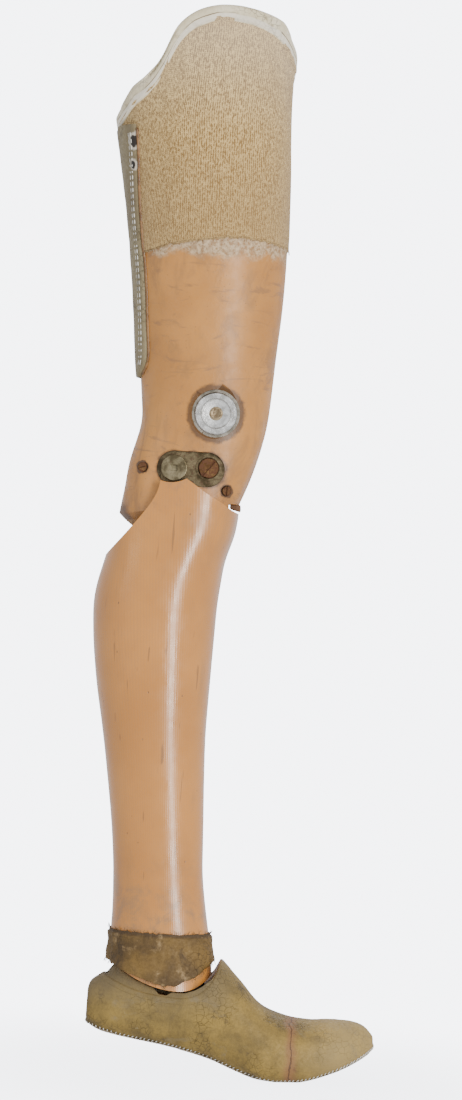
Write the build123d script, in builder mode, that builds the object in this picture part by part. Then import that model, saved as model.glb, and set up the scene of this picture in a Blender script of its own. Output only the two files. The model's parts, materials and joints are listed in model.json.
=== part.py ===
from build123d import *
from math import cos, pi, radians, sin, tan
import os

# Above-knee prosthetic leg for the right side: a suction socket with a leather brim, a single-axis
# knee, a hollow lacquered shin and a leather-covered wooden foot with an ankle and a toe joint.
# Millimetres. +X points to the toes, +Y to the inner (medial) side of the leg, +Z up along the leg.
# The origin is on the socket's axis, level with the ischial seat. Heights called h and distances
# called x in the lists below are counted from the knee axis: up, and towards the toes.

# ---- driving dimensions ----
KNEE_X = -8.0
KNEE_Z = -315.0

LIMB_STEP = 20.0
FOOT_STEP = 8.5

SOCKET_WALL = 5.0
SLEEVE = 0.9
REAR_STRIP = 3.5
BRIM_LEATHER = 1.9
SOCKET_FLOOR = 28.0
SEAT_PAD = 13.0

BLOCK_HALF_WIDTH = 46.0
BLOCK_RADIUS = 62.5
BLOCK_ROUNDING = 34.0

PLATE_REACH = 29.0
PLATE_SLOT_RADIUS = 15.2
PLATE_OUTER = 41.5
PLATE_THICKNESS = 3.5
PLATE_GAP = 0.3

AXLE_RADIUS = 5.0
AXLE_HEAD_RADIUS = 11.5
AXLE_HEAD = 3.0
EYE_INNER = 42.2
EYE_RADIUS = 11.0
STRAP_THICKNESS = 2.6
STRAP_INNER = 46.6
STRAP_LENGTH = 88.0
RUNNING = 0.04

SHIN_WALL = 3.5
CUFF = 1.8
ANKLE_BLOCK_TOP = -398.0

VALVE_X = 33.5
VALVE_H = 49.5
VALVE_FACE = -47.4
VALVE_RADIUS = 18.4
HOUSING_RADIUS = 21.0

ANKLE_X = 18.0
ANKLE_H = -468.0
PIN_RADIUS = 5.0
KNUCKLE_RADIUS = 10.0
KNUCKLE_HALF = 14.0

UPPER_LEATHER = 1.6
SOLE_LEATHER = 3.2
TOE_X = 131.0
TOE_H = -521.0
TOE_GAP_ANGLE = 9.0

# ---- outlines, as (h, back, front, half width, squareness) ----
THIGH = [
    (415, -83.0, 82.2, 78.5, 2.2),
    (372, -79.0, 83.0, 77.0, 2.2),
    (315, -69.5, 83.4, 74.5, 2.2),
    (250, -57.3, 86.6, 69.5, 2.2),
    (200, -49.3, 87.6, 64.5, 2.15),
    (150, -43.0, 86.7, 59.5, 2.1),
    (100, -38.0, 83.3, 54.5, 2.1),
    (62, -33.4, 81.0, 50.0, 2.2),
    (36, -32.6, 77.9, 47.4, 2.4),
    (8, -40.0, 71.0, BLOCK_HALF_WIDTH, 2.6),
    (-14, -42.6, 64.0, BLOCK_HALF_WIDTH, 2.6),
    (-32, -46.0, 56.5, BLOCK_HALF_WIDTH, 2.6),
    (-77, -46.0, 44.0, BLOCK_HALF_WIDTH, 2.6),
]
CAVITY_WALLS = [(425, 5), (160, 5), (125, 5.2), (90, 8), (50, 11.3), (20, 11.5), (-77, 11.5)]

SHIN = [
    (2, -52.0, 60.5, 53.0, 2.8),
    (-36, -55.0, 58.4, 53.0, 2.8),
    (-58, -54.0, 55.4, 53.0, 2.6),
    (-70, -54.4, 51.2, 53.0, 2.5),
    (-95, -60.6, 47.2, 52.8, 2.2),
    (-118, -64.5, 44.9, 52.2, 2.1),
    (-150, -63.4, 43.7, 50.3, 2.1),
    (-190, -58.3, 42.5, 47.0, 2.1),
    (-233, -50.2, 41.5, 43.0, 2.1),
    (-275, -43.2, 42.7, 39.6, 2.1),
    (-319, -36.8, 44.7, 36.8, 2.1),
    (-360, -32.9, 46.8, 35.2, 2.15),
    (-395, -31.8, 52.2, 35.0, 2.2),
    (-430, -32.2, 58.2, 35.6, 2.2),
    (-478, -30.0, 61.5, 36.0, 2.2),
]

# Foot stations, as (x, top h, bottom h, middle y, half width)
FOOT = [
    (-48.6, -468.0, -487.0, 0.0, 11.0),
    (-46.0, -460.5, -492.5, 0.0, 18.0),
    (-39.0, -450.5, -497.5, 0.0, 25.0),
    (-20.0, -438.0, -502.0, 0.0, 31.0),
    (20.0, -424.0, -508.0, 0.0, 34.5),
    (60.0, -425.0, -517.0, -0.5, 37.0),
    (84.0, -447.5, -525.5, -1.0, 40.0),
    (106.0, -469.6, -532.2, -1.2, 43.0),
    (140.0, -479.8, -532.8, 0.6, 43.6),
    (172.0, -479.4, -523.6, 6.0, 37.5),
    (191.0, -481.4, -514.5, 10.0, 28.5),
    (201.5, -487.0, -508.0, 12.5, 18.5),
    (206.0, -492.5, -502.5, 13.5, 10.0),
]

# Outer brim seen from the side, as (x, h): low at the seat, high over the outer side and the front.
BRIM_SIDE = [
    (-95, 303), (-69, 307), (-55, 325), (-40, 337), (-26, 362), (-13, 385), (4, 396.5),
    (27, 400.5), (52, 397.5), (69, 391), (80, 379), (95, 350),
]
# The same brim seen from behind, as (y, h): it falls to the seat's level on the inner side.
BRIM_BACK = [
    (-95, 470), (-40, 435), (0, 382), (22, 358), (44, 337), (62, 326), (95, 320),
]
# The front edge of the leather strip down the back of the thigh, as (x, h).
STRIP_EDGE = [
    (-52, 340), (-54.6, 312), (-51, 280), (-48.2, 246), (-43.3, 203), (-37.2, 156), (-33.4, 114),
    (-32.0, 98), (-33.5, 86), (-37.5, 79.5), (-52, 78),
]
# The upper edge of the shin's ears and rims, as (x, h), behind and ahead of the axle's scoop.
EAR_REAR = [(-57, -80), (-44, -65), (-31.3, -49.6), (-21.7, -36.8), (-13.5, -22), (-11.2, -11.5)]
EAR_SCOOP = (0.5, -12.6)
EAR_FRONT = [(11.5, -8.8), (20, -14.2), (30.6, -21.2), (44.3, -28.6), (52.7, -34.1), (60.5, -36.6)]
# The shin's rounded lower end and the torn lower edge of its leather cuff, as (x, h).
SHIN_END = [
    (-60, -425), (-31, -436), (-14, -445.5), (5, -453.5), (24, -457.6), (42, -456.5),
    (60, -444), (80, -425),
]
CUFF_EDGE = [
    (-60, -434), (-33, -435), (-16, -442.5), (3.5, -449), (22, -452.6), (41, -445.5),
    (52, -438), (80, -424),
]
# The foot's upper edge round the ankle, and its deeper wooden seat below the shin, as (x, h).
FOOT_RIM = [
    (-60, -440), (-34, -449), (-12, -457), (5, -461), (24, -463), (42, -462), (56, -453),
    (66, -434), (69, -400),
]


def side_plane(y=0.0):
    """A plane seen from the outer side: its x runs to the toes, its y up, its origin at the knee."""
    return Plane(origin=(KNEE_X, y, KNEE_Z), x_dir=(1, 0, 0), z_dir=(0, -1, 0))


def rounded_square(half_x, half_y, power, count=16):
    """Points of a superellipse, which is an ellipse at a power of 2 and squarer above it."""
    points = []
    for step in range(count):
        turn = 2 * pi * step / count
        stretch = (abs(cos(turn)) / half_x) ** power + (abs(sin(turn)) / half_y) ** power
        reach = stretch ** (-1 / power)
        points.append((reach * cos(turn), reach * sin(turn)))
    return points


def closed_curve(points):
    """A smooth closed curve with evenly spread knots, which all the sections of a loft then share."""
    count = len(points)
    return Edge.make_spline(points, periodic=True, parameters=[step / count for step in range(count + 1)])


def between(table, h):
    """The values at h of a list of (h, values...), on a smooth curve through its entries."""
    rows = sorted(table)
    last = len(rows) - 1
    place = max(k for k in range(last) if rows[k][0] <= h or k == 0)
    span = rows[place + 1][0] - rows[place][0]
    share = (h - rows[place][0]) / span
    values = []
    for column in range(1, len(rows[0])):
        slopes = []
        for k in (place, place + 1):
            low, high = rows[max(k - 1, 0)], rows[min(k + 1, last)]
            slopes.append((high[column] - low[column]) / (high[0] - low[0]) * span)
        start, finish = rows[place][column], rows[place + 1][column]
        rest = 1 - share
        values.append((1 + 2 * share) * rest**2 * start + share * rest**2 * slopes[0]
                      + share**2 * (3 - 2 * share) * finish - share**2 * rest * slopes[1])
    return values


def evenly(table, step):
    """The same list with its entries evenly spread, so that a loft through them runs true."""
    low, high = min(row[0] for row in table), max(row[0] for row in table)
    count = round((high - low) / step)
    places = [low + (high - low) * k / count for k in range(count + 1)]
    return [(place, *between(table, place)) for place in places]


def shaped(start, joined=(), within=(), without=()):
    """A copy of a solid with others joined to it, then kept within some and cut by the rest."""
    with BuildPart() as piece:
        add(start)
        for part in joined:
            add(part)
        for part in within:
            add(part, mode=Mode.INTERSECT)
        for part in without:
            add(part, mode=Mode.SUBTRACT)
    return piece.part


def keep(part, label):
    """Labels a finished piece and writes it."""
    part.label = label
    export_step(part, f"parts/{label}.step")
    return part


def limb(stations, grow):
    """A limb's solid, lofted through its stations; grow(h) is added to each one all round."""
    with BuildPart() as form:
        for h, back, front, half, power in evenly(stations, LIMB_STEP):
            middle = KNEE_X + (back + front) / 2
            with BuildSketch(Plane(origin=(middle, 0, KNEE_Z + h))):
                with BuildLine():
                    add(closed_curve(rounded_square((front - back) / 2 + grow(h), half + grow(h), power)))
                make_face()
        loft()
    return form.part


def below(outline, limit=-700.0):
    """What lies between an outline drawn from the side and a height under it, right through the leg."""
    with BuildPart() as space:
        with BuildSketch(side_plane()):
            with BuildLine():
                Spline(*outline)
                Polyline(outline[-1], (outline[-1][0], limit), (outline[0][0], limit), outline[0])
            make_face()
        extrude(amount=150, both=True)
    return space.part


def above(outline, limit=-300.0):
    """What lies between an outline drawn from the side and a height over it."""
    return below(outline, limit)


def raised(outline, amount):
    """The same outline, moved up."""
    return [(x, h + amount) for x, h in outline]


def side_prism(corners, half_width=150.0):
    """A straight-sided prism across the leg, from its corners seen from the side."""
    with BuildPart() as prism:
        with BuildSketch(side_plane()):
            with BuildLine():
                Polyline(*corners, corners[0])
            make_face()
        extrude(amount=half_width, both=True)
    return prism.part


def slab(low, high):
    """Everything between two heights."""
    return side_prism([(-300, low), (300, low), (300, high), (-300, high)], 200)


def knee_round(radius, half_width, rounding):
    """A drum on the knee axis, rounded at its rims, that the knee's parts turn inside."""
    with BuildPart() as drum:
        with BuildSketch(side_plane()):
            Circle(radius)
        extrude(amount=half_width, both=True)
        fillet(drum.edges().filter_by(GeomType.CIRCLE), rounding)
    return drum.part


def drum_at(x, h, radius, y_from, y_to):
    """A cylinder across the leg."""
    with BuildPart() as drum:
        with BuildSketch(side_plane(y_from)):
            with Locations((x, h)):
                Circle(radius)
        extrude(amount=y_from - y_to)
    return drum.part


def post_at(x, h, radius, height):
    """An upright cylinder standing on height h."""
    with BuildPart() as post:
        with BuildSketch(Plane(origin=(KNEE_X + x, 0, KNEE_Z + h))):
            Circle(radius)
        extrude(amount=height)
    return post.part


def over_brim(shift):
    """The two spaces above the brim, whose edge is moved up by shift: one drawn from the side, one
    from behind."""
    edge = raised(BRIM_BACK, shift)
    with BuildPart() as space:
        with BuildSketch(Plane(origin=(0, 0, KNEE_Z), x_dir=(0, 1, 0), z_dir=(1, 0, 0))):
            with BuildLine():
                Spline(*edge)
                Polyline(edge[-1], (edge[-1][0], 540), (edge[0][0], 540), edge[0])
            make_face()
        extrude(amount=150, both=True)
    return [above(raised(BRIM_SIDE, shift), 540), space.part]


def plate_slot(gap, y_from, y_to):
    """The oblong round-ended space of a bearing plate, with its axle end at the knee axis."""
    with BuildPart() as slot:
        with BuildSketch(side_plane(y_from)):
            with Locations((PLATE_REACH / 2, 0)):
                SlotCenterToCenter(PLATE_REACH, 2 * (PLATE_SLOT_RADIUS - gap))
        extrude(amount=y_from - y_to)
    return slot.part


# ---- thigh ----
BLOCK_SCREWS = [(-28, -0.7), (47, -17.4)]
SCREW_HEAD_RADIUS = 4.3
SCREW_BORE_RADIUS = 5.0
SCREW_SHANK_RADIUS = 2.2
SCREW_HEAD_OUTER = 38.0
SCREW_HEAD = 2.6
SCREW_DEPTH = 24.0
PLATE_SCREW_X = 30.0
PLATE_SCREW_H = 1.6
PLATE_SCREW_RADIUS = 9.0
BUSH_RADIUS = 8.0
BUSH_INNER = 29.0
BLOCK_TOP_OF_ROUND = -31.0
STEP_BACK = 49.5
STEP_H = -28.5


def thigh_blanks():
    """The thigh's solid cut round below the knee, its socket cavity and the block's solid."""
    round_part = knee_round(BLOCK_RADIUS, BLOCK_HALF_WIDTH + 0.5, BLOCK_ROUNDING)
    reach = shaped(round_part, joined=[slab(BLOCK_TOP_OF_ROUND, 500)])
    outer = limb(THIGH, lambda h: 0.0)
    step = side_prism([(STEP_BACK, STEP_H), (90, STEP_H), (90, -90), (STEP_BACK, -90)])
    body = shaped(outer, within=[reach], without=[step] + over_brim(0))
    cavity = shaped(limb(THIGH, lambda h: -between(CAVITY_WALLS, h)[0]), within=[slab(SOCKET_FLOOR, 500)])
    plug = limb(THIGH, lambda h: -SOCKET_WALL)
    block = shaped(plug, within=[reach, slab(-100, SOCKET_FLOOR)], without=[step])
    return outer, body, cavity, block


def knee_hardware_spaces():
    """What is bored out of the shell and block: plate slots, axle hole, bushes and screws."""
    floor = PLATE_OUTER - PLATE_THICKNESS
    spaces = []
    for side in (-1, 1):
        spaces.append(plate_slot(0, side * floor, side * 70))
        spaces.append(drum_at(0, 0, BUSH_RADIUS, side * BUSH_INNER, side * floor))
        spaces.append(drum_at(PLATE_SCREW_X, PLATE_SCREW_H, 3.5, side * 14, side * floor))
        for x, h in BLOCK_SCREWS:
            seat = SCREW_HEAD_OUTER - SCREW_HEAD
            spaces.append(drum_at(x, h, SCREW_BORE_RADIUS, side * seat, side * 70))
            end = SCREW_HEAD_OUTER - SCREW_DEPTH
            spaces.append(drum_at(x, h, SCREW_SHANK_RADIUS, side * end, side * seat))
    return shaped(drum_at(0, 0, AXLE_RADIUS + 1.0, -35, 35), joined=spaces)


def valve_mouth():
    """The valve's bore through the wall and the chamfer round it."""
    bore = drum_at(VALVE_X, VALVE_H, HOUSING_RADIUS, -80, -20)
    with BuildPart() as mouth:
        add(bore)
        with BuildSketch(side_plane(-50.4)):
            with Locations((VALVE_X, VALVE_H)):
                Circle(HOUSING_RADIUS + 5.2)
        extrude(amount=-5.0, taper=45)
    return mouth.part


def make_thigh_shell(body, cavity, block, spaces):
    core = shaped(cavity, joined=[block])
    keep(shaped(body, without=[core, spaces, valve_mouth()]), "thigh_shell")


def make_knee_block(block, spaces):
    keep(shaped(block, without=[spaces]), "knee_block")


def make_extension_buffer():
    """A leather strip under the front lip, which meets the shin's front rim at full extension."""
    corners = [(50.5, STEP_H), (57.0, STEP_H), (57.4, -35.0), (50.5, -32.0)]
    keep(side_prism(corners, 17), "extension_buffer")


def make_sleeve(outer):
    hem = [(-90, 176), (-41, 185.3), (-22, 191.3), (0, 196), (28, 200.5), (55, 202), (75, 200), (110, 196)]
    skin = limb(THIGH, lambda h: SLEEVE)
    return keep(shaped(skin, without=[outer, below(hem)] + over_brim(-3)), "stockinette_sleeve")


def make_brim_binding(body, sleeve):
    """Leather folded over the brim: 11 mm down the outside and 30 mm down the inside."""
    skin = limb(THIGH, lambda h: SLEEVE + BRIM_LEATHER)
    inside = limb(THIGH, lambda h: -SOCKET_WALL)
    inner = limb(THIGH, lambda h: -SOCKET_WALL - BRIM_LEATHER)
    lower_inside = shaped(inside, without=over_brim(-30))
    lower_outside = shaped(skin, without=[inside] + over_brim(-11))
    taken = [inner] + over_brim(BRIM_LEATHER) + [lower_outside, lower_inside, body, sleeve]
    keep(shaped(skin, without=taken),
         "brim_binding")


def make_seat_pad():
    """The felt shelf inside the back of the brim that the ischium rests on, under leather."""
    face = limb(THIGH, lambda h: -SOCKET_WALL - BRIM_LEATHER - 0.01)
    front = limb(THIGH, lambda h: -SOCKET_WALL - BRIM_LEATHER - SEAT_PAD)
    region = side_prism([(-90, 282), (-34, 288), (-24, 300), (-24, 330), (-90, 330)])
    keep(shaped(face, within=[region], without=[front] + over_brim(-3)), "ischial_seat_pad")


def make_rear_strip():
    """The leather strip that stiffens the back of the socket, tapering to a tail."""
    skin = limb(THIGH, lambda h: REAR_STRIP)
    backing = limb(THIGH, lambda h: SLEEVE)
    with BuildPart() as region:
        with BuildSketch(side_plane()):
            with BuildLine():
                Spline(*STRIP_EDGE)
                Polyline(STRIP_EDGE[-1], (-120, STRIP_EDGE[-1][1]), (-120, STRIP_EDGE[0][1]), STRIP_EDGE[0])
            make_face()
        extrude(amount=150, both=True)
    keep(shaped(skin, within=[region.part], without=[backing] + over_brim(-11.4)), "rear_strip")


def make_bearing_plates():
    for side, name in ((-1, "bearing_plate_outer"), (1, "bearing_plate_inner")):
        floor = side * (PLATE_OUTER - PLATE_THICKNESS)
        blank = plate_slot(PLATE_GAP, floor, side * PLATE_OUTER)
        ring = drum_at(PLATE_SCREW_X, PLATE_SCREW_H, 11.0, floor, side * (PLATE_OUTER + 0.8))
        seat = drum_at(PLATE_SCREW_X, PLATE_SCREW_H, 9.4, side * 39.6, side * 44)
        hole = drum_at(PLATE_SCREW_X, PLATE_SCREW_H, 3.5, side * 30, side * 44)
        bore = drum_at(0, 0, BUSH_RADIUS, side * 30, side * 44)
        keep(shaped(blank, joined=[ring], without=[seat, hole, bore]), name)


def make_knee_bushes():
    bushes = []
    for side in (-1, 1):
        bushes.append(drum_at(0, 0, BUSH_RADIUS, side * BUSH_INNER, side * PLATE_OUTER))
        bushes.append(drum_at(0, 0, BUSH_RADIUS + 1.5, side * PLATE_OUTER, side * (PLATE_OUTER + 0.5)))
    bore = drum_at(0, 0, AXLE_RADIUS + RUNNING, -60, 60)
    keep(shaped(bushes[0], joined=bushes[1:], without=[bore]), "knee_bushes")


def slotted_screw(x, h, side, outer, head_radius, head, shank_radius, depth, slot_width, slot_turn):
    """A slotted screw driven into the side of the knee."""
    blank = drum_at(x, h, head_radius, side * (outer - head), side * outer)
    shank = drum_at(x, h, shank_radius, side * (outer - depth), side * (outer - head))
    with BuildPart() as screw:
        add(blank)
        edges = screw.edges().filter_by(GeomType.CIRCLE).sort_by(Axis.Y)
        chamfer(edges[0] if side < 0 else edges[-1], head * 0.3)
        add(shank)
        with BuildSketch(side_plane(side * outer)):
            with Locations((x, h)):
                Rectangle(3 * head_radius, slot_width, rotation=slot_turn)
        extrude(amount=head * 0.5 * side, mode=Mode.SUBTRACT)
    return screw.part


def make_thigh_screws():
    plate_screws = [
        slotted_screw(PLATE_SCREW_X, PLATE_SCREW_H, side, 42.4, PLATE_SCREW_RADIUS, 2.8, 3.5, 28, 2.0, 52)
        for side in (-1, 1)
    ]
    keep(shaped(plate_screws[0], joined=plate_screws[1:]), "bearing_plate_screws")
    block_screws = [
        slotted_screw(x, h, side, SCREW_HEAD_OUTER, SCREW_HEAD_RADIUS, SCREW_HEAD,
                      SCREW_SHANK_RADIUS, SCREW_DEPTH, 1.1, 20 + 70 * place)
        for side in (-1, 1) for place, (x, h) in enumerate(BLOCK_SCREWS)
    ]
    keep(shaped(block_screws[0], joined=block_screws[1:]), "knee_block_screws")


# ---- socket valve, round an axis across the leg ----
DISH_RADIUS = 13.5
BUTTON_RADIUS = 6.0
BUTTON_FACE = -45.9
BUTTON_HEAD = 1.9
STEM_RADIUS = 2.0
VALVE_BACK = -38.0
SPRING_WIRE = 0.28
SPRING_RADIUS = 4.4


def turned(profile, label):
    """A piece turned on the valve's axis from a profile of (radius, y)."""
    origin = (KNEE_X + VALVE_X, 0, KNEE_Z + VALVE_H)
    with BuildPart() as piece:
        with BuildSketch(Plane(origin=origin, x_dir=(1, 0, 0), z_dir=(0, 0, 1))):
            with BuildLine():
                Polyline(*profile, profile[0])
            make_face()
        revolve(axis=Axis(origin, (0, 1, 0)))
    keep(piece.part, label)


def make_valve():
    bore = VALVE_RADIUS + 0.2
    turned([(bore, -45.4), (HOUSING_RADIUS, -45.4), (HOUSING_RADIUS, -34.0), (15.0, -34.0),
            (15.0, -36.5), (bore, -36.5)], "valve_housing")
    turned([(15.6, -36.5), (bore - 0.1, -36.5), (bore - 0.1, VALVE_BACK), (15.6, VALVE_BACK)],
           "valve_gasket")
    cup = BUTTON_RADIUS + 0.05
    cup_floor = VALVE_BACK - 1.5
    turned([(cup, -45.6), (DISH_RADIUS - 1.2, -46.2), (DISH_RADIUS, VALVE_FACE),
            (VALVE_RADIUS - 0.8, VALVE_FACE),
            (VALVE_RADIUS, VALVE_FACE + 0.8), (VALVE_RADIUS, VALVE_BACK), (STEM_RADIUS + 0.3, VALVE_BACK),
            (STEM_RADIUS + 0.3, cup_floor), (cup, cup_floor)], "valve_body")
    under = BUTTON_FACE + BUTTON_HEAD
    stem_end = cup_floor + 1.0
    turned([(0, BUTTON_FACE + 0.9), (2.2, BUTTON_FACE + 0.6), (4.4, BUTTON_FACE),
            (BUTTON_RADIUS, BUTTON_FACE + 0.2), (BUTTON_RADIUS, under), (STEM_RADIUS, under),
            (STEM_RADIUS, stem_end), (0, stem_end)], "valve_button")
    turned([(0, -34.9), (14.0, -34.9), (14.0, -33.9), (0, -33.1)], "valve_flap")
    room = cup_floor - under
    with BuildPart() as valve_spring:
        with BuildLine():
            coil = Helix(
                pitch=(room - 2 * SPRING_WIRE) / 2.5,
                height=room - 2 * SPRING_WIRE,
                radius=SPRING_RADIUS,
                center=(KNEE_X + VALVE_X, under + SPRING_WIRE, KNEE_Z + VALVE_H),
                direction=(0, 1, 0),
            )
        with BuildSketch(Plane(origin=coil @ 0, z_dir=coil % 0)):
            Circle(SPRING_WIRE - 0.04)
        sweep()
    keep(valve_spring.part, "valve_spring")


# ---- shin ----
RIVET_HEIGHTS = [-44, -60, -76]
RIVET_RADIUS = 2.5
RIVET_OUTER = 51.0


def ear_space():
    """Everything above the upper edge of the shin: its rims, its ears and the scoop under the axle."""
    with BuildPart() as space:
        with BuildSketch(side_plane()):
            with BuildLine():
                Spline(*EAR_REAR)
                ThreePointArc(EAR_REAR[-1], EAR_SCOOP, EAR_FRONT[0])
                Spline(*EAR_FRONT)
                Polyline(EAR_FRONT[-1], (110, EAR_FRONT[-1][1]), (110, 60), (-110, 60),
                         (-110, EAR_REAR[0][1]), EAR_REAR[0])
            make_face()
        extrude(amount=150, both=True)
    return space.part


def make_strap(side, name):
    """A flat steel side strap: an eye on the axle, a joggle over the slot's edge and a shank."""
    eye_out = EYE_INNER + STRAP_THICKNESS
    shank_out = STRAP_INNER + STRAP_THICKNESS
    profile = [(EYE_INNER, EYE_RADIUS), (EYE_INNER, -11.7), (STRAP_INNER, -14.6),
               (STRAP_INNER, -STRAP_LENGTH),
               (shank_out, -STRAP_LENGTH), (shank_out, -14.0), (eye_out, -11.7), (eye_out, EYE_RADIUS)]
    holes = [drum_at(0, 0, AXLE_RADIUS, -80, 80)]
    holes += [drum_at(0, h, RIVET_RADIUS, -80, 80) for h in RIVET_HEIGHTS]
    with BuildPart() as face:
        with BuildSketch(side_plane()):
            Circle(EYE_RADIUS)
            with Locations((0, -STRAP_LENGTH / 2)):
                Rectangle(2 * EYE_RADIUS, STRAP_LENGTH)
        extrude(amount=80, both=True)
    with BuildPart() as strap:
        with BuildSketch(Plane(origin=(KNEE_X, 0, KNEE_Z), x_dir=(0, 1, 0), z_dir=(1, 0, 0))):
            with BuildLine():
                points = [(side * y, h) for y, h in profile]
                Polyline(*points, points[0])
            make_face()
        extrude(amount=40, both=True)
    slot = drum_at(0, 0, PLATE_SLOT_RADIUS - 0.3, side * 30, side * (STRAP_INNER - 0.1))
    wall = shaped(drum_at(0, 0, 60, side * 41, side * (STRAP_INNER - 0.1)), without=[slot])
    return keep(shaped(strap.part, within=[face.part], without=holes + [wall]), name)


def make_shin(straps):
    outer = limb(SHIN, lambda h: 0.0)
    inner = limb(SHIN, lambda h: -SHIN_WALL)
    end = below(SHIN_END, -600)
    head_space = drum_at(0, 0, AXLE_HEAD_RADIUS + 0.6, -60, 60)
    rivet_holes = [drum_at(0, h, RIVET_RADIUS, side * 45, side * RIVET_OUTER)
                   for side in (-1, 1) for h in RIVET_HEIGHTS]
    stock = shaped(outer, without=[ear_space(), end])
    keep(shaped(stock, without=[inner, head_space] + straps + rivet_holes), "shin_shell")
    rivets = []
    for side in (-1, 1):
        for h in RIVET_HEIGHTS:
            rivets.append(drum_at(0, h, RIVET_RADIUS, side * STRAP_INNER, side * RIVET_OUTER))
    keep(shaped(rivets[0], joined=rivets[1:]), "strap_rivets")
    bolt_hole = post_at(ANKLE_X, -520, STIRRUP_SHANK, 200)
    knuckle_space = drum_at(ANKLE_X, ANKLE_H, KNUCKLE_RADIUS + 1.5, -40, 40)
    keep(shaped(inner, within=[slab(-600, ANKLE_BLOCK_TOP)], without=[end, bolt_hole, knuckle_space]),
         "ankle_block")
    skin = limb(SHIN, lambda h: CUFF)
    keep(shaped(skin, within=[slab(-600, -411)], without=[outer, below(CUFF_EDGE, -600), end]), "ankle_cuff")


STIRRUP_SHANK = 6.0
NUT_ACROSS = 19.0
NUT = 10.0
WASHER_RADIUS = 14.0
WASHER = 2.5


def make_knee_axle():
    """The axle with its outer head, and the screwed-on head at its inner end; both take a square key."""
    outer = EYE_INNER + STRAP_THICKNESS
    shaft = drum_at(0, 0, AXLE_RADIUS, -outer, outer)
    for side, name in ((-1, "knee_axle"), (1, "knee_axle_cap")):
        head = drum_at(0, 0, AXLE_HEAD_RADIUS, side * outer, side * (outer + AXLE_HEAD))
        with BuildPart() as piece:
            add(head)
            rim = piece.edges().filter_by(GeomType.CIRCLE).sort_by(Axis.Y)
            fillet(rim[0] if side < 0 else rim[-1], 0.9)
            with BuildSketch(side_plane(side * (outer + AXLE_HEAD))):
                Rectangle(5.6, 5.6)
            extrude(amount=side * 2.3, mode=Mode.SUBTRACT)
            if side < 0:
                add(shaft)
        keep(piece.part, name)


def make_ankle_stirrup():
    """The T-shaped ankle bolt: a knuckle on the ankle pin and a shank up through the ankle block."""
    knuckle = drum_at(ANKLE_X, ANKLE_H, KNUCKLE_RADIUS, -KNUCKLE_HALF, KNUCKLE_HALF)
    shank = post_at(ANKLE_X, ANKLE_H, STIRRUP_SHANK, ANKLE_BLOCK_TOP - ANKLE_H + WASHER + NUT + 4)
    bore = drum_at(ANKLE_X, ANKLE_H, PIN_RADIUS + RUNNING, -40, 40)
    keep(shaped(knuckle, joined=[shank], without=[bore]), "ankle_stirrup")
    hole = post_at(ANKLE_X, ANKLE_BLOCK_TOP, STIRRUP_SHANK, 40)
    keep(shaped(post_at(ANKLE_X, ANKLE_BLOCK_TOP, WASHER_RADIUS, WASHER), without=[hole]), "stirrup_washer")
    with BuildPart() as stirrup_nut:
        with BuildSketch(Plane(origin=(KNEE_X + ANKLE_X, 0, KNEE_Z + ANKLE_BLOCK_TOP + WASHER))):
            RegularPolygon(NUT_ACROSS / 2, 6, major_radius=False)
            Circle(STIRRUP_SHANK, mode=Mode.SUBTRACT)
        extrude(amount=NUT)
    keep(stirrup_nut.part, "stirrup_nut")


# ---- foot ----
HEEL_BUMPER = (-10.0, 13.0)
INSTEP_BUMPER = (44.0, 10.0)
BUMPER_FLOOR = -478.0
PIN_HALF = 27.0
BELLY = 0.38
HEEL_FLAT = (2.0, -504.6)
HEEL_PITCH = 0.153


def foot_form(inset):
    """The foot, lofted from heel to toe; its sections are round on top and flatter underneath."""
    first = FOOT[0][0]
    length = FOOT[-1][0] - first
    with BuildPart() as form:
        for x, top, bottom, middle, half in evenly(FOOT, FOOT_STEP):
            shift = inset * (1 - 2 * (x - first) / length)
            height = top - bottom - 2 * inset
            belly = bottom + inset + BELLY * height
            upper = rounded_square(half - inset, (1 - BELLY) * height, 2.3)
            lower = rounded_square(half - inset, BELLY * height, 3.6)
            points = []
            for (y, z), (low_y, low_z) in zip(upper, lower):
                rise = (y, z) if z > 0 else (low_y, low_z)
                points.append((middle + rise[0], KNEE_Z + belly + rise[1]))
            with BuildSketch(Plane(origin=(KNEE_X + x + shift, 0, 0), x_dir=(0, 1, 0), z_dir=(1, 0, 0))):
                with BuildLine():
                    add(closed_curve(points))
                make_face()
        loft()
    return form.part


def toe_side(direction):
    """The space on one side of the toe hinge: ahead of it (1) or behind it (-1)."""
    lean = tan(radians(TOE_GAP_ANGLE))
    near = TOE_X + direction * 0.25
    far = TOE_X + direction * 200
    rise = 130
    floor = TOE_H - 40
    return side_prism([(near, TOE_H), (near + direction * rise * lean, TOE_H + rise), (far, TOE_H + rise),
                       (far, floor), (near, floor)])


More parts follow.
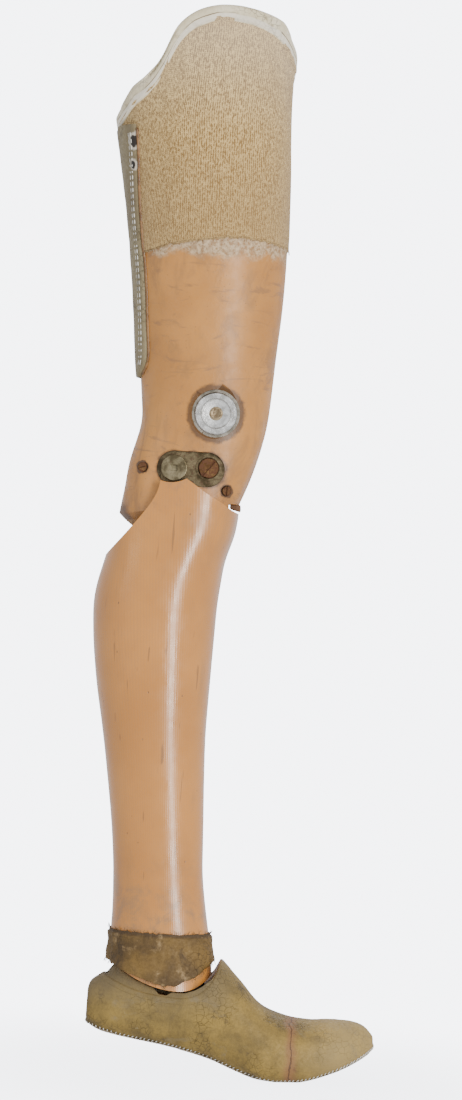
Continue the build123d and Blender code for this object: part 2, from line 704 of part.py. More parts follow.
def make_foot():
    whole = foot_form(0.0)
    wood = foot_form(UPPER_LEATHER)
    sole_top = [(x, bottom + SOLE_LEATHER) for x, top, bottom, middle, half in FOOT]
    sole_top = [(-75, -485)] + sole_top[2:-2] + [(203, -503.8), (230, -488)]
    sole_space = below(sole_top, -620)
    opening = above(FOOT_RIM)
    behind = toe_side(-1)
    ahead = toe_side(1)
    with BuildPart() as heel_flat:
        under_heel = (KNEE_X + HEEL_FLAT[0], 0, KNEE_Z + HEEL_FLAT[1])
        with BuildSketch(Plane(origin=under_heel, z_dir=(-HEEL_PITCH, 0, -1))):
            Rectangle(64, 120)
        extrude(amount=20)
    hinge_spaces = [
        drum_at(TOE_X, TOE_H, HINGE_RADIUS + 0.5, -HINGE_HALF - 0.5, HINGE_HALF + 0.5),
        side_prism(leaf_corners(-1, LEAF_LENGTH + HINGE_RADIUS), HINGE_HALF),
        side_prism(leaf_corners(1, LEAF_LENGTH + HINGE_RADIUS), HINGE_HALF),
    ]
    knuckle_room = drum_at(ANKLE_X, ANKLE_H, KNUCKLE_RADIUS + 1.2, -KNUCKLE_HALF - 0.8, KNUCKLE_HALF + 0.8)
    slot = side_prism([(ANKLE_X - 12, ANKLE_H), (ANKLE_X + 12, ANKLE_H), (ANKLE_X + 12, -440),
                       (ANKLE_X - 12, -440)], KNUCKLE_HALF + 0.8)
    pin_hole = drum_at(ANKLE_X, ANKLE_H, PIN_RADIUS, -PIN_HALF, PIN_HALF)
    pockets = [post_at(x, BUMPER_FLOOR, radius + 0.4, 60) for x, radius in (HEEL_BUMPER, INSTEP_BUMPER)]
    taken = [opening, sole_space, knuckle_room, slot, pin_hole] + pockets + hinge_spaces
    keep(shaped(wood, within=[behind], without=taken), "foot_block")
    keep(shaped(wood, within=[ahead], without=[sole_space] + hinge_spaces), "toe_block")
    leather = shaped(whole, without=[wood, opening, sole_space])
    sole = shaped(whole, within=[sole_space], without=[heel_flat.part])
    keep(shaped(leather, within=[behind]), "foot_upper")
    keep(shaped(leather, within=[ahead]), "toe_upper")
    keep(shaped(sole, within=[behind]), "foot_sole")
    keep(shaped(sole, within=[ahead]), "toe_sole")


def make_ankle_pin_and_bumpers():
    keep(drum_at(ANKLE_X, ANKLE_H, PIN_RADIUS, -PIN_HALF, PIN_HALF), "ankle_pin")
    under_shin = below(raised(SHIN_END, -0.2), -620)
    for (x, radius), name in ((HEEL_BUMPER, "heel_bumper"), (INSTEP_BUMPER, "instep_bumper")):
        keep(shaped(post_at(x, BUMPER_FLOOR, radius, 60), within=[under_shin]), name)


# ---- toe hinge ----
HINGE_RADIUS = 4.5
HINGE_HALF = 22.0
HINGE_PIN_RADIUS = 2.0
LEAF = 2.0
LEAF_LENGTH = 24.0
LEAF_H = -519.0


def leaf_corners(direction, length):
    """A hinge leaf seen from the side, running out from the hinge pin."""
    near = TOE_X
    far = TOE_X + direction * length
    low, high = LEAF_H - LEAF / 2, LEAF_H + LEAF / 2
    return [(near, low), (far, low), (far, high), (near, high)]


def make_toe_hinge():
    for direction, name in ((-1, "toe_hinge_rear_leaf"), (1, "toe_hinge_front_leaf")):
        spans = [(-22, -9), (9, 22)] if direction < 0 else [(-8.7, 8.7)]
        leaf = side_prism(leaf_corners(direction, LEAF_LENGTH + HINGE_RADIUS), HINGE_HALF)
        plate = shaped(leaf, without=[drum_at(TOE_X, TOE_H, HINGE_RADIUS + 0.6, -30, 30)])
        knuckles = [drum_at(TOE_X, TOE_H, HINGE_RADIUS, low, high) for low, high in spans]
        root = side_prism(leaf_corners(direction, HINGE_RADIUS + 2), HINGE_HALF)
        bands = [shaped(root, within=[drum_at(TOE_X, TOE_H, 30, low, high)]) for low, high in spans]
        bore = HINGE_PIN_RADIUS + (0.0 if direction < 0 else RUNNING)
        hole = drum_at(TOE_X, TOE_H, bore, -30, 30)
        keep(shaped(plate, joined=knuckles + bands, without=[hole]), name)
    keep(drum_at(TOE_X, TOE_H, HINGE_PIN_RADIUS, -22, 22), "toe_hinge_pin")


def make_toe_bumper():
    """The rubber wedge that fills the gap above the toe hinge and springs the toe back down."""
    lean = tan(radians(TOE_GAP_ANGLE - 0.6))
    low = 6.5
    high = 36.0
    corners = [(TOE_X - low * lean, TOE_H + low), (TOE_X + low * lean, TOE_H + low),
               (TOE_X + high * lean, TOE_H + high), (TOE_X - high * lean, TOE_H + high)]
    keep(side_prism(corners, 24), "toe_bumper")


def main():
    os.makedirs("parts", exist_ok=True)
    outer, body, cavity, block = thigh_blanks()
    spaces = knee_hardware_spaces()
    make_thigh_shell(body, cavity, block, spaces)
    make_knee_block(block, spaces)
    make_extension_buffer()
    sleeve = make_sleeve(outer)
    make_brim_binding(body, sleeve)
    make_seat_pad()
    make_rear_strip()
    make_bearing_plates()
    make_knee_bushes()
    make_thigh_screws()
    make_valve()
    make_shin([make_strap(-1, "knee_strap_outer"), make_strap(1, "knee_strap_inner")])
    make_knee_axle()
    make_ankle_stirrup()
    make_foot()
    make_ankle_pin_and_bumpers()
    make_toe_hinge()
    make_toe_bumper()


main()
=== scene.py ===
import json
import math
import random
from collections import namedtuple

import bmesh
import bpy
import numpy as np
from mathutils import Matrix, Vector, noise
from mathutils.bvhtree import BVHTree

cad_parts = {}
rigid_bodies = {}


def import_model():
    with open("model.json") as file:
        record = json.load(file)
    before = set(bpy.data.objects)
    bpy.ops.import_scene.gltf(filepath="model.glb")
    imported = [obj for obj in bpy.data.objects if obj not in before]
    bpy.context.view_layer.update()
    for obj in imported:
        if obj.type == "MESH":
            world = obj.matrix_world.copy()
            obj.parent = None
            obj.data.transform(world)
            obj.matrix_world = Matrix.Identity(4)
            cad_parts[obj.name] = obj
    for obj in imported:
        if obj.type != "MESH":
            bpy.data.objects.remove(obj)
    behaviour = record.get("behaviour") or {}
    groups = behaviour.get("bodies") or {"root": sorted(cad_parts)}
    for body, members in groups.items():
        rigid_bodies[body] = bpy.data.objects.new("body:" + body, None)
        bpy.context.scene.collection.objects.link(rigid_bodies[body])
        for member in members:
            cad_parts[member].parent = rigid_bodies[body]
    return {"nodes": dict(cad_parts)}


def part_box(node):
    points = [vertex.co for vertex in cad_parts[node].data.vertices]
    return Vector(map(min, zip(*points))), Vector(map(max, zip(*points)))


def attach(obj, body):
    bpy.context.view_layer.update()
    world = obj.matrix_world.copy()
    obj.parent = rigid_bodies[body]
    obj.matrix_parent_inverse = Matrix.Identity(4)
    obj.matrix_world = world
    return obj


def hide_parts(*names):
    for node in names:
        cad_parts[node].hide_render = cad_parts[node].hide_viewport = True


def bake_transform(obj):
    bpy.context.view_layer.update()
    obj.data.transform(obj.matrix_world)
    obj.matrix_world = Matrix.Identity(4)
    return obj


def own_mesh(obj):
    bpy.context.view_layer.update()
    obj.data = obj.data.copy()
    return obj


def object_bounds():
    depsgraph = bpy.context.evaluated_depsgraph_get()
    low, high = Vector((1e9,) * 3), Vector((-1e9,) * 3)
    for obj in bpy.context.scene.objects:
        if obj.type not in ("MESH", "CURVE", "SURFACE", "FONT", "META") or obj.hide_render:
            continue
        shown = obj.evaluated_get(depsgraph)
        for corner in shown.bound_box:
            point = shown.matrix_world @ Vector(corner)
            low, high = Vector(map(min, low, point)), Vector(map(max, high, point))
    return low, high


for leftover in list(bpy.data.objects):
    bpy.data.objects.remove(leftover)
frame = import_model()
cad_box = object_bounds()
NODES = frame["nodes"]
MM = 0.001
UP = Vector((0, 0, 1))


# ---- measuring the frame ----
def middle_of(node):
    low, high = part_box(node)
    return (low + high) / 2


KNEE = middle_of("knee_axle")
KNEE.y = 0.0
TOE = middle_of("toe_hinge_pin")
VALVE = middle_of("valve_body")


def at(x, y, h):
    """A point in the frame, from millimetres ahead of, beside and above the knee axis."""
    return Vector((KNEE.x + x * MM, y * MM, KNEE.z + h * MM))


class Surface:
    """The faces of some CAD nodes, to cast rays at; it knows which node each face belongs to."""

    def __init__(self, *names):
        points, faces, self.owner = [], [], []
        for name in names:
            mesh = NODES[name].data
            start = len(points)
            points.extend(v.co.copy() for v in mesh.vertices)
            faces.extend([start + i for i in p.vertices] for p in mesh.polygons)
            self.owner.extend([name] * len(mesh.polygons))
        self.tree = BVHTree.FromPolygons(points, faces)

    def inward(self, centre, direction, reach=0.16):
        """Where a ray from outside first meets the faces on its way to the centre, and on which node."""
        place, _, face, _ = self.tree.ray_cast(centre + direction * reach, -direction, reach)
        return (place, self.owner[face]) if place is not None else (None, None)

    def outward(self, centre, direction, reach=0.16):
        """Where a ray from the centre first meets the faces on its way out."""
        return self.tree.ray_cast(centre, direction, reach)[0]


def turn(angle):
    return Vector((math.cos(angle), math.sin(angle), 0))


def last_true(test, inside, outside, steps=12):
    """The value nearest to outside at which the test still holds, by halving."""
    for _ in range(steps):
        half = (inside + outside) / 2
        if test(half):
            inside = half
        else:
            outside = half
    return inside


def rough(point, size, seed=0.0):
    """Smooth noise from -1 to 1, whose bumps are about that size across."""
    return noise.noise(point / size + Vector((seed, seed * 0.7, -seed)))


# ---- making meshes ----
def mesh_piece(name, points, faces, uvs=None, smooth=True):
    mesh = bpy.data.meshes.new(name)
    mesh.from_pydata([tuple(p) for p in points], [], faces)
    if uvs is not None:
        layer = mesh.uv_layers.new(name="flat")
        for polygon, corners in zip(mesh.polygons, uvs):
            for loop, corner in zip(polygon.loop_indices, corners):
                layer.data[loop].uv = corner
    mesh.update()
    if smooth:
        mesh.shade_smooth()
    piece = bpy.data.objects.new(name, mesh)
    bpy.context.scene.collection.objects.link(piece)
    return piece


def grid_piece(name, rows, closed=False):
    """A quad grid from rows of points; its UV map is in metres along and across the rows."""
    wide, tall = len(rows[0]), len(rows)
    points = [p for row in rows for p in row]
    along = np.zeros((tall, wide + 1))
    across = np.zeros((tall, wide + 1))
    for r in range(tall):
        for c in range(1, wide + 1):
            along[r, c] = along[r, c - 1] + (rows[r][c % wide] - rows[r][c - 1]).length
    along -= along.mean(axis=1, keepdims=True)
    for r in range(1, tall):
        for c in range(wide + 1):
            across[r, c] = across[r - 1, c] + (rows[r][c % wide] - rows[r - 1][c % wide]).length
    faces, uvs = [], []
    for r in range(tall - 1):
        for c in range(wide if closed else wide - 1):
            d = (c + 1) % wide
            faces.append([r * wide + c, r * wide + d, (r + 1) * wide + d, (r + 1) * wide + c])
            corners = ((r, c), (r, c + 1), (r + 1, c + 1), (r + 1, c))
            uvs.append([(along[a, b], across[a, b]) for a, b in corners])
    return mesh_piece(name, points, faces, uvs)


def subdivided(piece, levels=1):
    modifier = piece.modifiers.new("finer", "SUBSURF")
    modifier.levels = modifier.render_levels = levels
    return piece


def capsules(name, dashes, radius, sides=6):
    """Short rounded stitches, one along each pair of points."""
    points, faces = [], []
    shares = ((0.0, 0.35), (0.12, 0.85), (0.5, 1.0), (0.88, 0.85), (1.0, 0.35))
    for start, end in dashes:
        axis = (end - start).normalized()
        side = axis.orthogonal().normalized()
        other = axis.cross(side)
        base = len(points)
        for share, size in shares:
            for k in range(sides):
                a = 2 * math.pi * k / sides
                spoke = (side * math.cos(a) + other * math.sin(a)) * radius * size
                points.append(start.lerp(end, share) + spoke)
        for ring in range(len(shares) - 1):
            for k in range(sides):
                a, b = base + ring * sides + k, base + ring * sides + (k + 1) % sides
                faces.append([a, b, b + sides, a + sides])
        faces.append([base + k for k in range(sides)][::-1])
        faces.append([base + (len(shares) - 1) * sides + k for k in range(sides)])
    return mesh_piece(name, points, faces)


def threads(name, lines, radius, sides=5):
    """Fine tubes that taper to their ends, one along each list of points."""
    points, faces = [], []
    for line in lines:
        base = len(points)
        for i, p in enumerate(line):
            ahead = line[min(i + 1, len(line) - 1)] - line[max(i - 1, 0)]
            axis = ahead.normalized()
            side = axis.cross(UP if abs(axis.z) < 0.9 else Vector((1, 0, 0))).normalized()
            other = axis.cross(side)
            size = radius * (1.0 if i < len(line) - 1 else 0.35)
            for k in range(sides):
                a = 2 * math.pi * k / sides
                points.append(p + (side * math.cos(a) + other * math.sin(a)) * size)
        for ring in range(len(line) - 1):
            for k in range(sides):
                a, b = base + ring * sides + k, base + ring * sides + (k + 1) % sides
                faces.append([a, b, b + sides, a + sides])
        faces.append([base + k for k in range(sides)][::-1])
        faces.append([base + (len(line) - 1) * sides + k for k in range(sides)])
    return mesh_piece(name, points, faces)


# ---- materials ----
class Look:
    """A node material: methods add nodes and give back their output sockets."""

    def __init__(self, name, **fixed):
        self.material = bpy.data.materials.new(name)
        self.material.use_nodes = True
        self.nodes = self.material.node_tree.nodes
        self.links = self.material.node_tree.links
        self.shader = self.nodes["Principled BSDF"]
        for socket, value in fixed.items():
            self.shader.inputs[socket.replace("_", " ")].default_value = value
        place = self.nodes.new("ShaderNodeTexCoord")
        self.place, self.flat = place.outputs["Object"], place.outputs["UV"]

    def put(self, socket, value):
        if isinstance(value, bpy.types.NodeSocket):
            self.links.new(value, socket)
        else:
            socket.default_value = value

    def add(self, kind, inputs, output=0, **settings):
        made = self.nodes.new(kind)
        for key, value in settings.items():
            setattr(made, key, value)
        for key, value in inputs.items():
            self.put(made.inputs[key], value)
        return made.outputs[output]

    def noise(self, where, scale, detail=4.0, roughness=0.55, warp=0.0):
        return self.add("ShaderNodeTexNoise", {"Vector": where, "Scale": scale, "Detail": detail,
                                               "Roughness": roughness, "Distortion": warp})

    def cells(self, where, scale, feature="F1", spread=1.0):
        return self.add("ShaderNodeTexVoronoi", {"Vector": where, "Scale": scale, "Randomness": spread},
                        output="Distance", feature=feature)

    def stretched(self, where, scale, move=(0, 0, 0), spin=(0, 0, 0)):
        inputs = {"Vector": where, "Scale": scale, "Location": move, "Rotation": spin}
        return self.add("ShaderNodeMapping", inputs)

    def math(self, kind, a, b=0.0, clamp=False):
        return self.add("ShaderNodeMath", {0: a, 1: b}, operation=kind, use_clamp=clamp)

    def fit(self, value, low, high, to_low=0.0, to_high=1.0):
        return self.add("ShaderNodeMapRange", {"Value": value, "From Min": low, "From Max": high,
                                               "To Min": to_low, "To Max": to_high}, clamp=True,
                        interpolation_type="SMOOTHSTEP")

    def mix(self, share, a, b, blend="MIX"):
        a = (*a, 1.0) if isinstance(a, tuple) and len(a) == 3 else a
        b = (*b, 1.0) if isinstance(b, tuple) and len(b) == 3 else b
        return self.add("ShaderNodeMix", {0: share, 6: a, 7: b}, output=2, data_type="RGBA", blend_type=blend)

    def part(self, where, axis):
        return self.add("ShaderNodeSeparateXYZ", {"Vector": where}, output=axis)

    def near(self, point, radius, ragged=0.35, size=120.0):
        """1 within about that radius of a point of the frame, with a ragged edge, and 0 outside."""
        away = self.add("ShaderNodeVectorMath", {0: self.place, 1: tuple(point)}, output="Value",
                        operation="DISTANCE")
        edge = self.math("MULTIPLY", self.noise(self.place, size, 5), radius * ragged * 2)
        inner, outer = radius * (0.85 + ragged), radius * (1.15 + ragged)
        return self.fit(self.math("ADD", away, edge), inner, outer, 1.0, 0.0)

    def bump(self, height, distance, strength=1.0, normal=None):
        inputs = {"Height": height, "Distance": distance, "Strength": strength}
        if normal is not None:
            inputs["Normal"] = normal
        return self.add("ShaderNodeBump", inputs)

    def done(self, colour, roughness, normal=None):
        self.put(self.shader.inputs["Base Color"], colour)
        self.put(self.shader.inputs["Roughness"], roughness)
        if normal is not None:
            self.put(self.shader.inputs["Normal"], normal)
        return self.material


# Painted shade in the recesses round the valve, the bearing plate and the wood screws, as (x, h) in mm
# from the knee axis, the radii in mm between which it fades, and its strength. Each mark goes straight
# through the leg, so the valve's mark is on the inner side too, where there is no valve.
RECESS_SHADE_RINGS = (
    (33.5, 49.5, 24.0, 27.5, 0.85),
    (0, 0, 15.0, 17.5, 0.8),
    (15, 0, 15.0, 17.0, 0.8),
    (30, 0, 15.0, 17.5, 0.8),
    (-28, -0.7, 5.2, 6.4, 0.9),
    (47, -17.4, 5.2, 6.4, 0.9),
)


def thigh_lacquer(name, hem):
    """Flesh lacquer on laminate: worn, stained, with glue and dirt under the sleeve's hem."""
    look = Look(name, Specular_IOR_Level=0.45, Coat_Weight=0.12, Coat_Roughness=0.3)
    p = look.place
    tone = look.noise(p, 11, 5, 0.6)
    fine = look.noise(p, 420, 6, 0.7)
    colour = look.mix(look.fit(tone, 0.32, 0.68), (0.45, 0.185, 0.032), (0.58, 0.25, 0.046))
    colour = look.mix(look.fit(fine, 0.3, 0.7, 0.0, 0.22), colour, (0.43, 0.22, 0.085))
    smear = look.noise(look.stretched(p, (1.0, 1.0, 0.45)), 34, 7, 0.68, 0.8)
    colour = look.mix(look.fit(smear, 0.48, 0.66, 0.0, 0.6), colour, (0.28, 0.135, 0.045))
    rubs = look.noise(look.stretched(p, (1.0, 1.0, 4.0), (3, 1, 2)), 26, 6, 0.6, 1.2)
    colour = look.mix(look.fit(rubs, 0.56, 0.68, 0.0, 0.6), colour, (0.24, 0.12, 0.05))
    specks = look.cells(p, 190)
    colour = look.mix(look.fit(specks, 0.05, 0.11, 0.55, 0.0), colour, (0.12, 0.055, 0.02))
    height = look.part(p, 2)
    ragged = look.math("MULTIPLY", look.math("SUBTRACT", look.noise(p, 55, 5, 0.6), 0.5), 0.03)
    band = look.fit(look.math("ADD", height, ragged), hem - 0.011, hem - 0.002)
    grit = look.noise(p, 300, 7, 0.75)
    glue = look.mix(look.fit(grit, 0.36, 0.62), (0.24, 0.145, 0.07), (0.60, 0.45, 0.27))
    colour = look.mix(look.math("MULTIPLY", band, look.fit(grit, 0.25, 0.55, 0.45, 0.95)), colour, glue)
    low = look.fit(height, KNEE.z - 0.05, KNEE.z + 0.03, 0.5, 0.0)
    colour = look.mix(look.math("MULTIPLY", low, look.fit(smear, 0.4, 0.62)), colour, (0.22, 0.105, 0.04))
    ax, ah = look.math("SUBTRACT", look.part(p, 0), KNEE.x), look.math("SUBTRACT", height, KNEE.z)
    shake = look.math("MULTIPLY", look.math("SUBTRACT", look.noise(p, 160, 5), 0.5), 0.006)

    def round_mark(x, h, inner, outer):
        """1 within the inner radius of an axis across the leg, falling to 0 at the outer one."""
        dx, dh = look.math("SUBTRACT", ax, x * MM), look.math("SUBTRACT", ah, h * MM)
        squares = look.math("ADD", look.math("MULTIPLY", dx, dx), look.math("MULTIPLY", dh, dh))
        away = look.math("SQRT", squares)
        return look.fit(look.math("ADD", away, shake), inner * MM, outer * MM, 1.0, 0.0)

    # painted shade: darkens the lacquer round the recessed valve, bearing plate and screw heads
    for x, h, inner, outer, strength in RECESS_SHADE_RINGS:
        mark = look.math("MULTIPLY", round_mark(x, h, inner, outer), strength)
        colour = look.mix(mark, colour, (0.075, 0.036, 0.014))
    lip = look.math("ADD", look.math("ADD", ax, look.math("MULTIPLY", ah, 0.75)), shake)
    rear = look.math("MULTIPLY", look.fit(lip, -0.072, -0.064, 1.0, 0.0), look.fit(ah, -0.01, 0.0, 1.0, 0.0))
    colour = look.mix(look.math("MULTIPLY", rear, 0.85), colour, (0.09, 0.04, 0.014))
    rough_map = look.fit(look.noise(p, 70, 5), 0.35, 0.7, 0.36, 0.56)
    rough_map = look.math("ADD", rough_map, look.math("MULTIPLY", band, 0.3), clamp=True)
    ripple = look.bump(look.noise(p, 60, 3), 0.0008, 0.5)
    grain = look.bump(look.math("ADD", fine, look.math("MULTIPLY", band, grit)), 0.00035, 0.6, ripple)
    return look.done(colour, rough_map, grain)


def shin_lacquer(name):
    """Glossy flesh lacquer over a knitted cover whose ribs show through it."""
    look = Look(name, Specular_IOR_Level=0.5, Coat_Weight=0.4, Coat_Roughness=0.2)
    p = look.place
    x = look.math("SUBTRACT", look.part(p, 0), KNEE.x + 0.001)
    lean = look.math("MULTIPLY", look.math("SUBTRACT", look.part(p, 2), KNEE.z - 0.08), 0.045)
    around = look.math("ARCTAN2", look.part(p, 1), look.math("ADD", x, lean))
    wobble = look.math("MULTIPLY", look.noise(look.stretched(p, (1, 1, 0.3)), 30, 3), 0.05)
    ribs = look.math("SINE", look.math("MULTIPLY", look.math("ADD", around, wobble), 132.0))
    loops = look.noise(look.stretched(p, (1, 1, 0.55)), 620, 3, 0.6)
    tone = look.noise(p, 9, 5, 0.6)
    colour = look.mix(look.fit(tone, 0.32, 0.68), (0.50, 0.195, 0.030), (0.61, 0.25, 0.044))
    colour = look.mix(look.fit(ribs, -1.0, 0.4, 0.22, 0.0), colour, (0.40, 0.185, 0.06))
    colour = look.mix(look.fit(loops, 0.35, 0.65, 0.0, 0.12), colour, (0.44, 0.21, 0.075))
    smear = look.noise(look.stretched(p, (1, 1, 0.4)), 30, 7, 0.66, 0.7)
    colour = look.mix(look.fit(smear, 0.52, 0.7, 0.0, 0.45), colour, (0.36, 0.165, 0.05))
    nicks = look.cells(look.stretched(p, (1, 1, 0.45), (0.3, 0.1, 0.2)), 95)
    colour = look.mix(look.fit(nicks, 0.035, 0.06, 0.85, 0.0), colour, (0.13, 0.06, 0.022))
    scratch = look.noise(look.stretched(p, (1.0, 1.0, 0.06), (5, 2, 1), (0.2, 0.35, 0)), 260, 2, 0.5)
    colour = look.mix(look.fit(scratch, 0.69, 0.73, 0.0, 0.6), colour, (0.20, 0.09, 0.03))
    foot_end = look.fit(look.part(p, 2), KNEE.z - 0.40, KNEE.z - 0.32, 0.6, 0.0)
    dirt = look.noise(p, 48, 7, 0.7, 0.5)
    soiled = look.math("MULTIPLY", foot_end, look.fit(dirt, 0.45, 0.62))
    colour = look.mix(soiled, colour, (0.25, 0.145, 0.07))
    upper = look.fit(look.part(p, 2), KNEE.z - 0.07, KNEE.z - 0.03, 0.0, 0.5)
    colour = look.mix(look.math("MULTIPLY", upper, look.fit(dirt, 0.5, 0.66)), colour, (0.30, 0.15, 0.06))
    rough_map = look.fit(look.noise(p, 60, 5), 0.3, 0.7, 0.2, 0.36)
    waves = look.bump(look.noise(look.stretched(p, (1, 1, 0.5)), 42, 3), 0.0012, 0.45)
    weave = look.bump(look.math("MULTIPLY", ribs, 0.5), 0.00008, 0.35, waves)
    chips = look.bump(look.fit(nicks, 0.03, 0.06), 0.0003, 0.6, weave)
    return look.done(colour, rough_map, chips)


def knit(name):
    """Ribbed stockinette stiffened with resin: cream loops over tan, in wales 2 mm apart."""
    look = Look(name, Specular_IOR_Level=0.25, Sheen_Weight=0.15)
    u, v = look.part(look.flat, 0), look.part(look.flat, 1)
    shift = look.math("MULTIPLY", look.noise(look.place, 60, 3), 0.0022)
    wale = look.math("SINE", look.math("MULTIPLY", look.math("ADD", u, shift), 2 * math.pi / 0.0021))
    course = look.math("SINE", look.math("MULTIPLY", look.math("ADD", v, shift), 2 * math.pi / 0.0017))
    loops = look.math("MULTIPLY", look.math("ADD", wale, 1.0), look.math("ADD", course, 1.0))
    flecks = look.noise(look.stretched(look.place, (1, 1, 0.5)), 760, 3, 0.6)
    patch = look.noise(look.place, 120, 4, 0.6)
    share = look.math("ADD", look.math("MULTIPLY", wale, 0.1), look.math("ADD", flecks, look.math(
        "MULTIPLY", look.math("SUBTRACT", patch, 0.5), 0.14)))
    colour = look.mix(look.fit(share, 0.36, 0.62), (0.25, 0.135, 0.036), (0.84, 0.58, 0.23))
    height = look.part(look.place, 2)
    # painted shade and painted highlight: darker towards the hem, lighter towards the brim, as the light
    # falls
    colour = look.mix(look.fit(height, KNEE.z + 0.19, KNEE.z + 0.36, 0.5, 0.0), colour, (0.34, 0.20, 0.075))
    colour = look.mix(look.fit(height, KNEE.z + 0.28, KNEE.z + 0.40, 0.0, 0.28), colour, (0.85, 0.74, 0.58))
    stain = look.noise(look.place, 22, 6, 0.66, 0.6)
    colour = look.mix(look.fit(stain, 0.58, 0.74, 0.0, 0.45), colour, (0.27, 0.16, 0.075))
    relief = look.math("ADD", look.math("MULTIPLY", loops, 0.35), look.math("MULTIPLY", flecks, 0.9))
    return look.done(colour, 0.86, look.bump(relief, 0.0007, 0.8))


def leather(name, pale, dark, stained, cracks=0.5, roughness=0.62, scale=1.0, extra=None):
    """Old leather: pores and creases, two tones, stains and darker cracks."""
    look = Look(name, Specular_IOR_Level=0.35)
    p = look.place
    tone = look.noise(p, 26 * scale, 6, 0.62, 0.3)
    colour = look.mix(look.fit(tone, 0.32, 0.68), dark, pale)
    stain = look.noise(p, 55 * scale, 7, 0.68, 0.7)
    colour = look.mix(look.fit(stain, 0.54, 0.72, 0.0, 0.75), colour, stained)
    fine = look.noise(p, 380, 6, 0.7)
    colour = look.mix(look.fit(fine, 0.35, 0.7, 0.0, 0.3), colour, stained)
    bent = look.add("ShaderNodeVectorMath", {0: p, 1: look.add("ShaderNodeVectorMath", {
        0: look.add("ShaderNodeTexNoise", {"Vector": p, "Scale": 90.0}, output="Color"),
        1: (0.006, 0.006, 0.006)}, operation="MULTIPLY")}, operation="ADD")
    crack = look.cells(bent, 190 * scale, "DISTANCE_TO_EDGE")
    where = look.fit(look.noise(p, 30, 5), 0.48, 0.62)
    line = look.math("MULTIPLY", look.fit(crack, 0.012, 0.045, 1.0, 0.0), where)
    colour = look.mix(look.math("MULTIPLY", line, cracks), colour, tuple(c * 0.3 for c in stained))
    if extra is not None:
        colour = extra(look, colour)
    pores = look.cells(p, 900)
    creases = look.bump(look.math("SUBTRACT", tone, line), 0.0011, 0.55)
    grain = look.bump(look.math("ADD", look.math("MULTIPLY", pores, 0.5), fine), 0.00035, 0.65, creases)
    return look.done(colour, look.fit(fine, 0.3, 0.7, roughness - 0.1, roughness + 0.12), grain)


def wood(name):
    look = Look(name, Specular_IOR_Level=0.4)
    p = look.place
    rings = look.add("ShaderNodeTexWave", {"Vector": look.stretched(p, (1, 1, 0.12)), "Scale": 60.0,
                                           "Distortion": 6.0, "Detail": 3.0}, output="Fac")
    fibres = look.noise(look.stretched(p, (1, 1, 0.05)), 700, 4, 0.7)
    colour = look.mix(look.fit(rings, 0.1, 0.9), (0.36, 0.19, 0.075), (0.50, 0.29, 0.125))
    colour = look.mix(look.fit(fibres, 0.4, 0.65, 0.0, 0.45), colour, (0.22, 0.11, 0.042))
    return look.done(colour, look.fit(fibres, 0.3, 0.7, 0.45, 0.65), look.bump(fibres, 0.0003, 0.5))


def metal(name, bright, dull, rust, rust_share, roughness, turned_round=None):
    """Worn metal with tarnish or rust; turned_round is the middle of its lathe marks."""
    look = Look(name, Metallic=1.0, Specular_IOR_Level=0.5)
    p = look.place
    tone = look.noise(p, 130, 6, 0.65, 0.4)
    colour = look.mix(look.fit(tone, 0.35, 0.65), dull, bright)
    crust = look.noise(p, 380, 7, 0.72, 0.6)
    limit = 0.72 - 0.36 * rust_share
    covered = look.fit(crust, limit, limit + 0.1)
    colour = look.mix(covered, colour, rust)
    relief = look.noise(p, 900, 5, 0.7)
    if turned_round is not None:
        away = look.add("ShaderNodeVectorMath", {0: p, 1: tuple(turned_round)}, output="Value",
                        operation="DISTANCE")
        spread = look.add("ShaderNodeCombineXYZ", {"X": look.math("MULTIPLY", away, 1600.0)})
        rings = look.noise(spread, 1.0, 3)
        relief = look.math("ADD", relief, rings)
    look.put(look.shader.inputs["Metallic"], look.fit(covered, 0.0, 1.0, 0.95, 0.15))
    rough_map = look.math("ADD", look.fit(tone, 0.3, 0.7, roughness - 0.08, roughness + 0.1),
                          look.math("MULTIPLY", covered, 0.35), clamp=True)
    return look.done(colour, rough_map, look.bump(relief, 0.0002, 0.55))


def rubber(name):
    look = Look(name, Specular_IOR_Level=0.35)
    dust = look.noise(look.place, 160, 6, 0.7)
    colour = look.mix(look.fit(dust, 0.45, 0.7), (0.018, 0.016, 0.014), (0.11, 0.09, 0.065))
    grain = look.bump(look.noise(look.place, 600, 4), 0.0003)
    return look.done(colour, look.fit(dust, 0.3, 0.7, 0.6, 0.85), grain)


def thread_look(name, colour):
    look = Look(name, Specular_IOR_Level=0.2)
    twist = look.noise(look.place, 1500, 3, 0.6)
    grime = look.noise(look.place, 60, 5, 0.6)
    base = look.mix(look.fit(grime, 0.42, 0.66, 0.0, 0.7), colour, tuple(c * 0.38 for c in colour))
    twisted = look.mix(look.fit(twist, 0.3, 0.7, 0.0, 0.35), base, tuple(c * 0.55 for c in colour))
    return look.done(twisted, 0.8, look.bump(twist, 0.0002, 0.6))


def finish_piece(piece, material, body=None, replaced=()):
    piece.data.materials.clear()
    piece.data.materials.append(material)
    if replaced:
        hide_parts(*replaced)
    if body is not None:
        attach(piece, body)
    return piece


def paint(material, *names):
    """Gives CAD nodes that stay on show a better material."""
    for name in names:
        mesh = NODES[name].data
        mesh.materials.clear()
        mesh.materials.append(material)


# ---- the thigh's soft goods ----
wrapped = Surface("thigh_shell", "stockinette_sleeve", "brim_binding")
sleeve_only = Surface("stockinette_sleeve")
binding_only = Surface("brim_binding")
strip_only = Surface("rear_strip")

heights = np.arange(-30, 396, 5) * MM + KNEE.z
mids = []
for level in heights:
    centre = Vector((KNEE.x + 12 * MM, 0, level))
    front, _ = wrapped.inward(centre, Vector((1, 0, 0)))
    back, _ = wrapped.inward(centre, Vector((-1, 0, 0)))
    found = front is not None and back is not None
    mids.append((front.x + back.x) / 2 if found else (mids[-1] if mids else centre.x))


def thigh_middle(z):
    return Vector((float(np.interp(z, heights, mids)), 0, z))


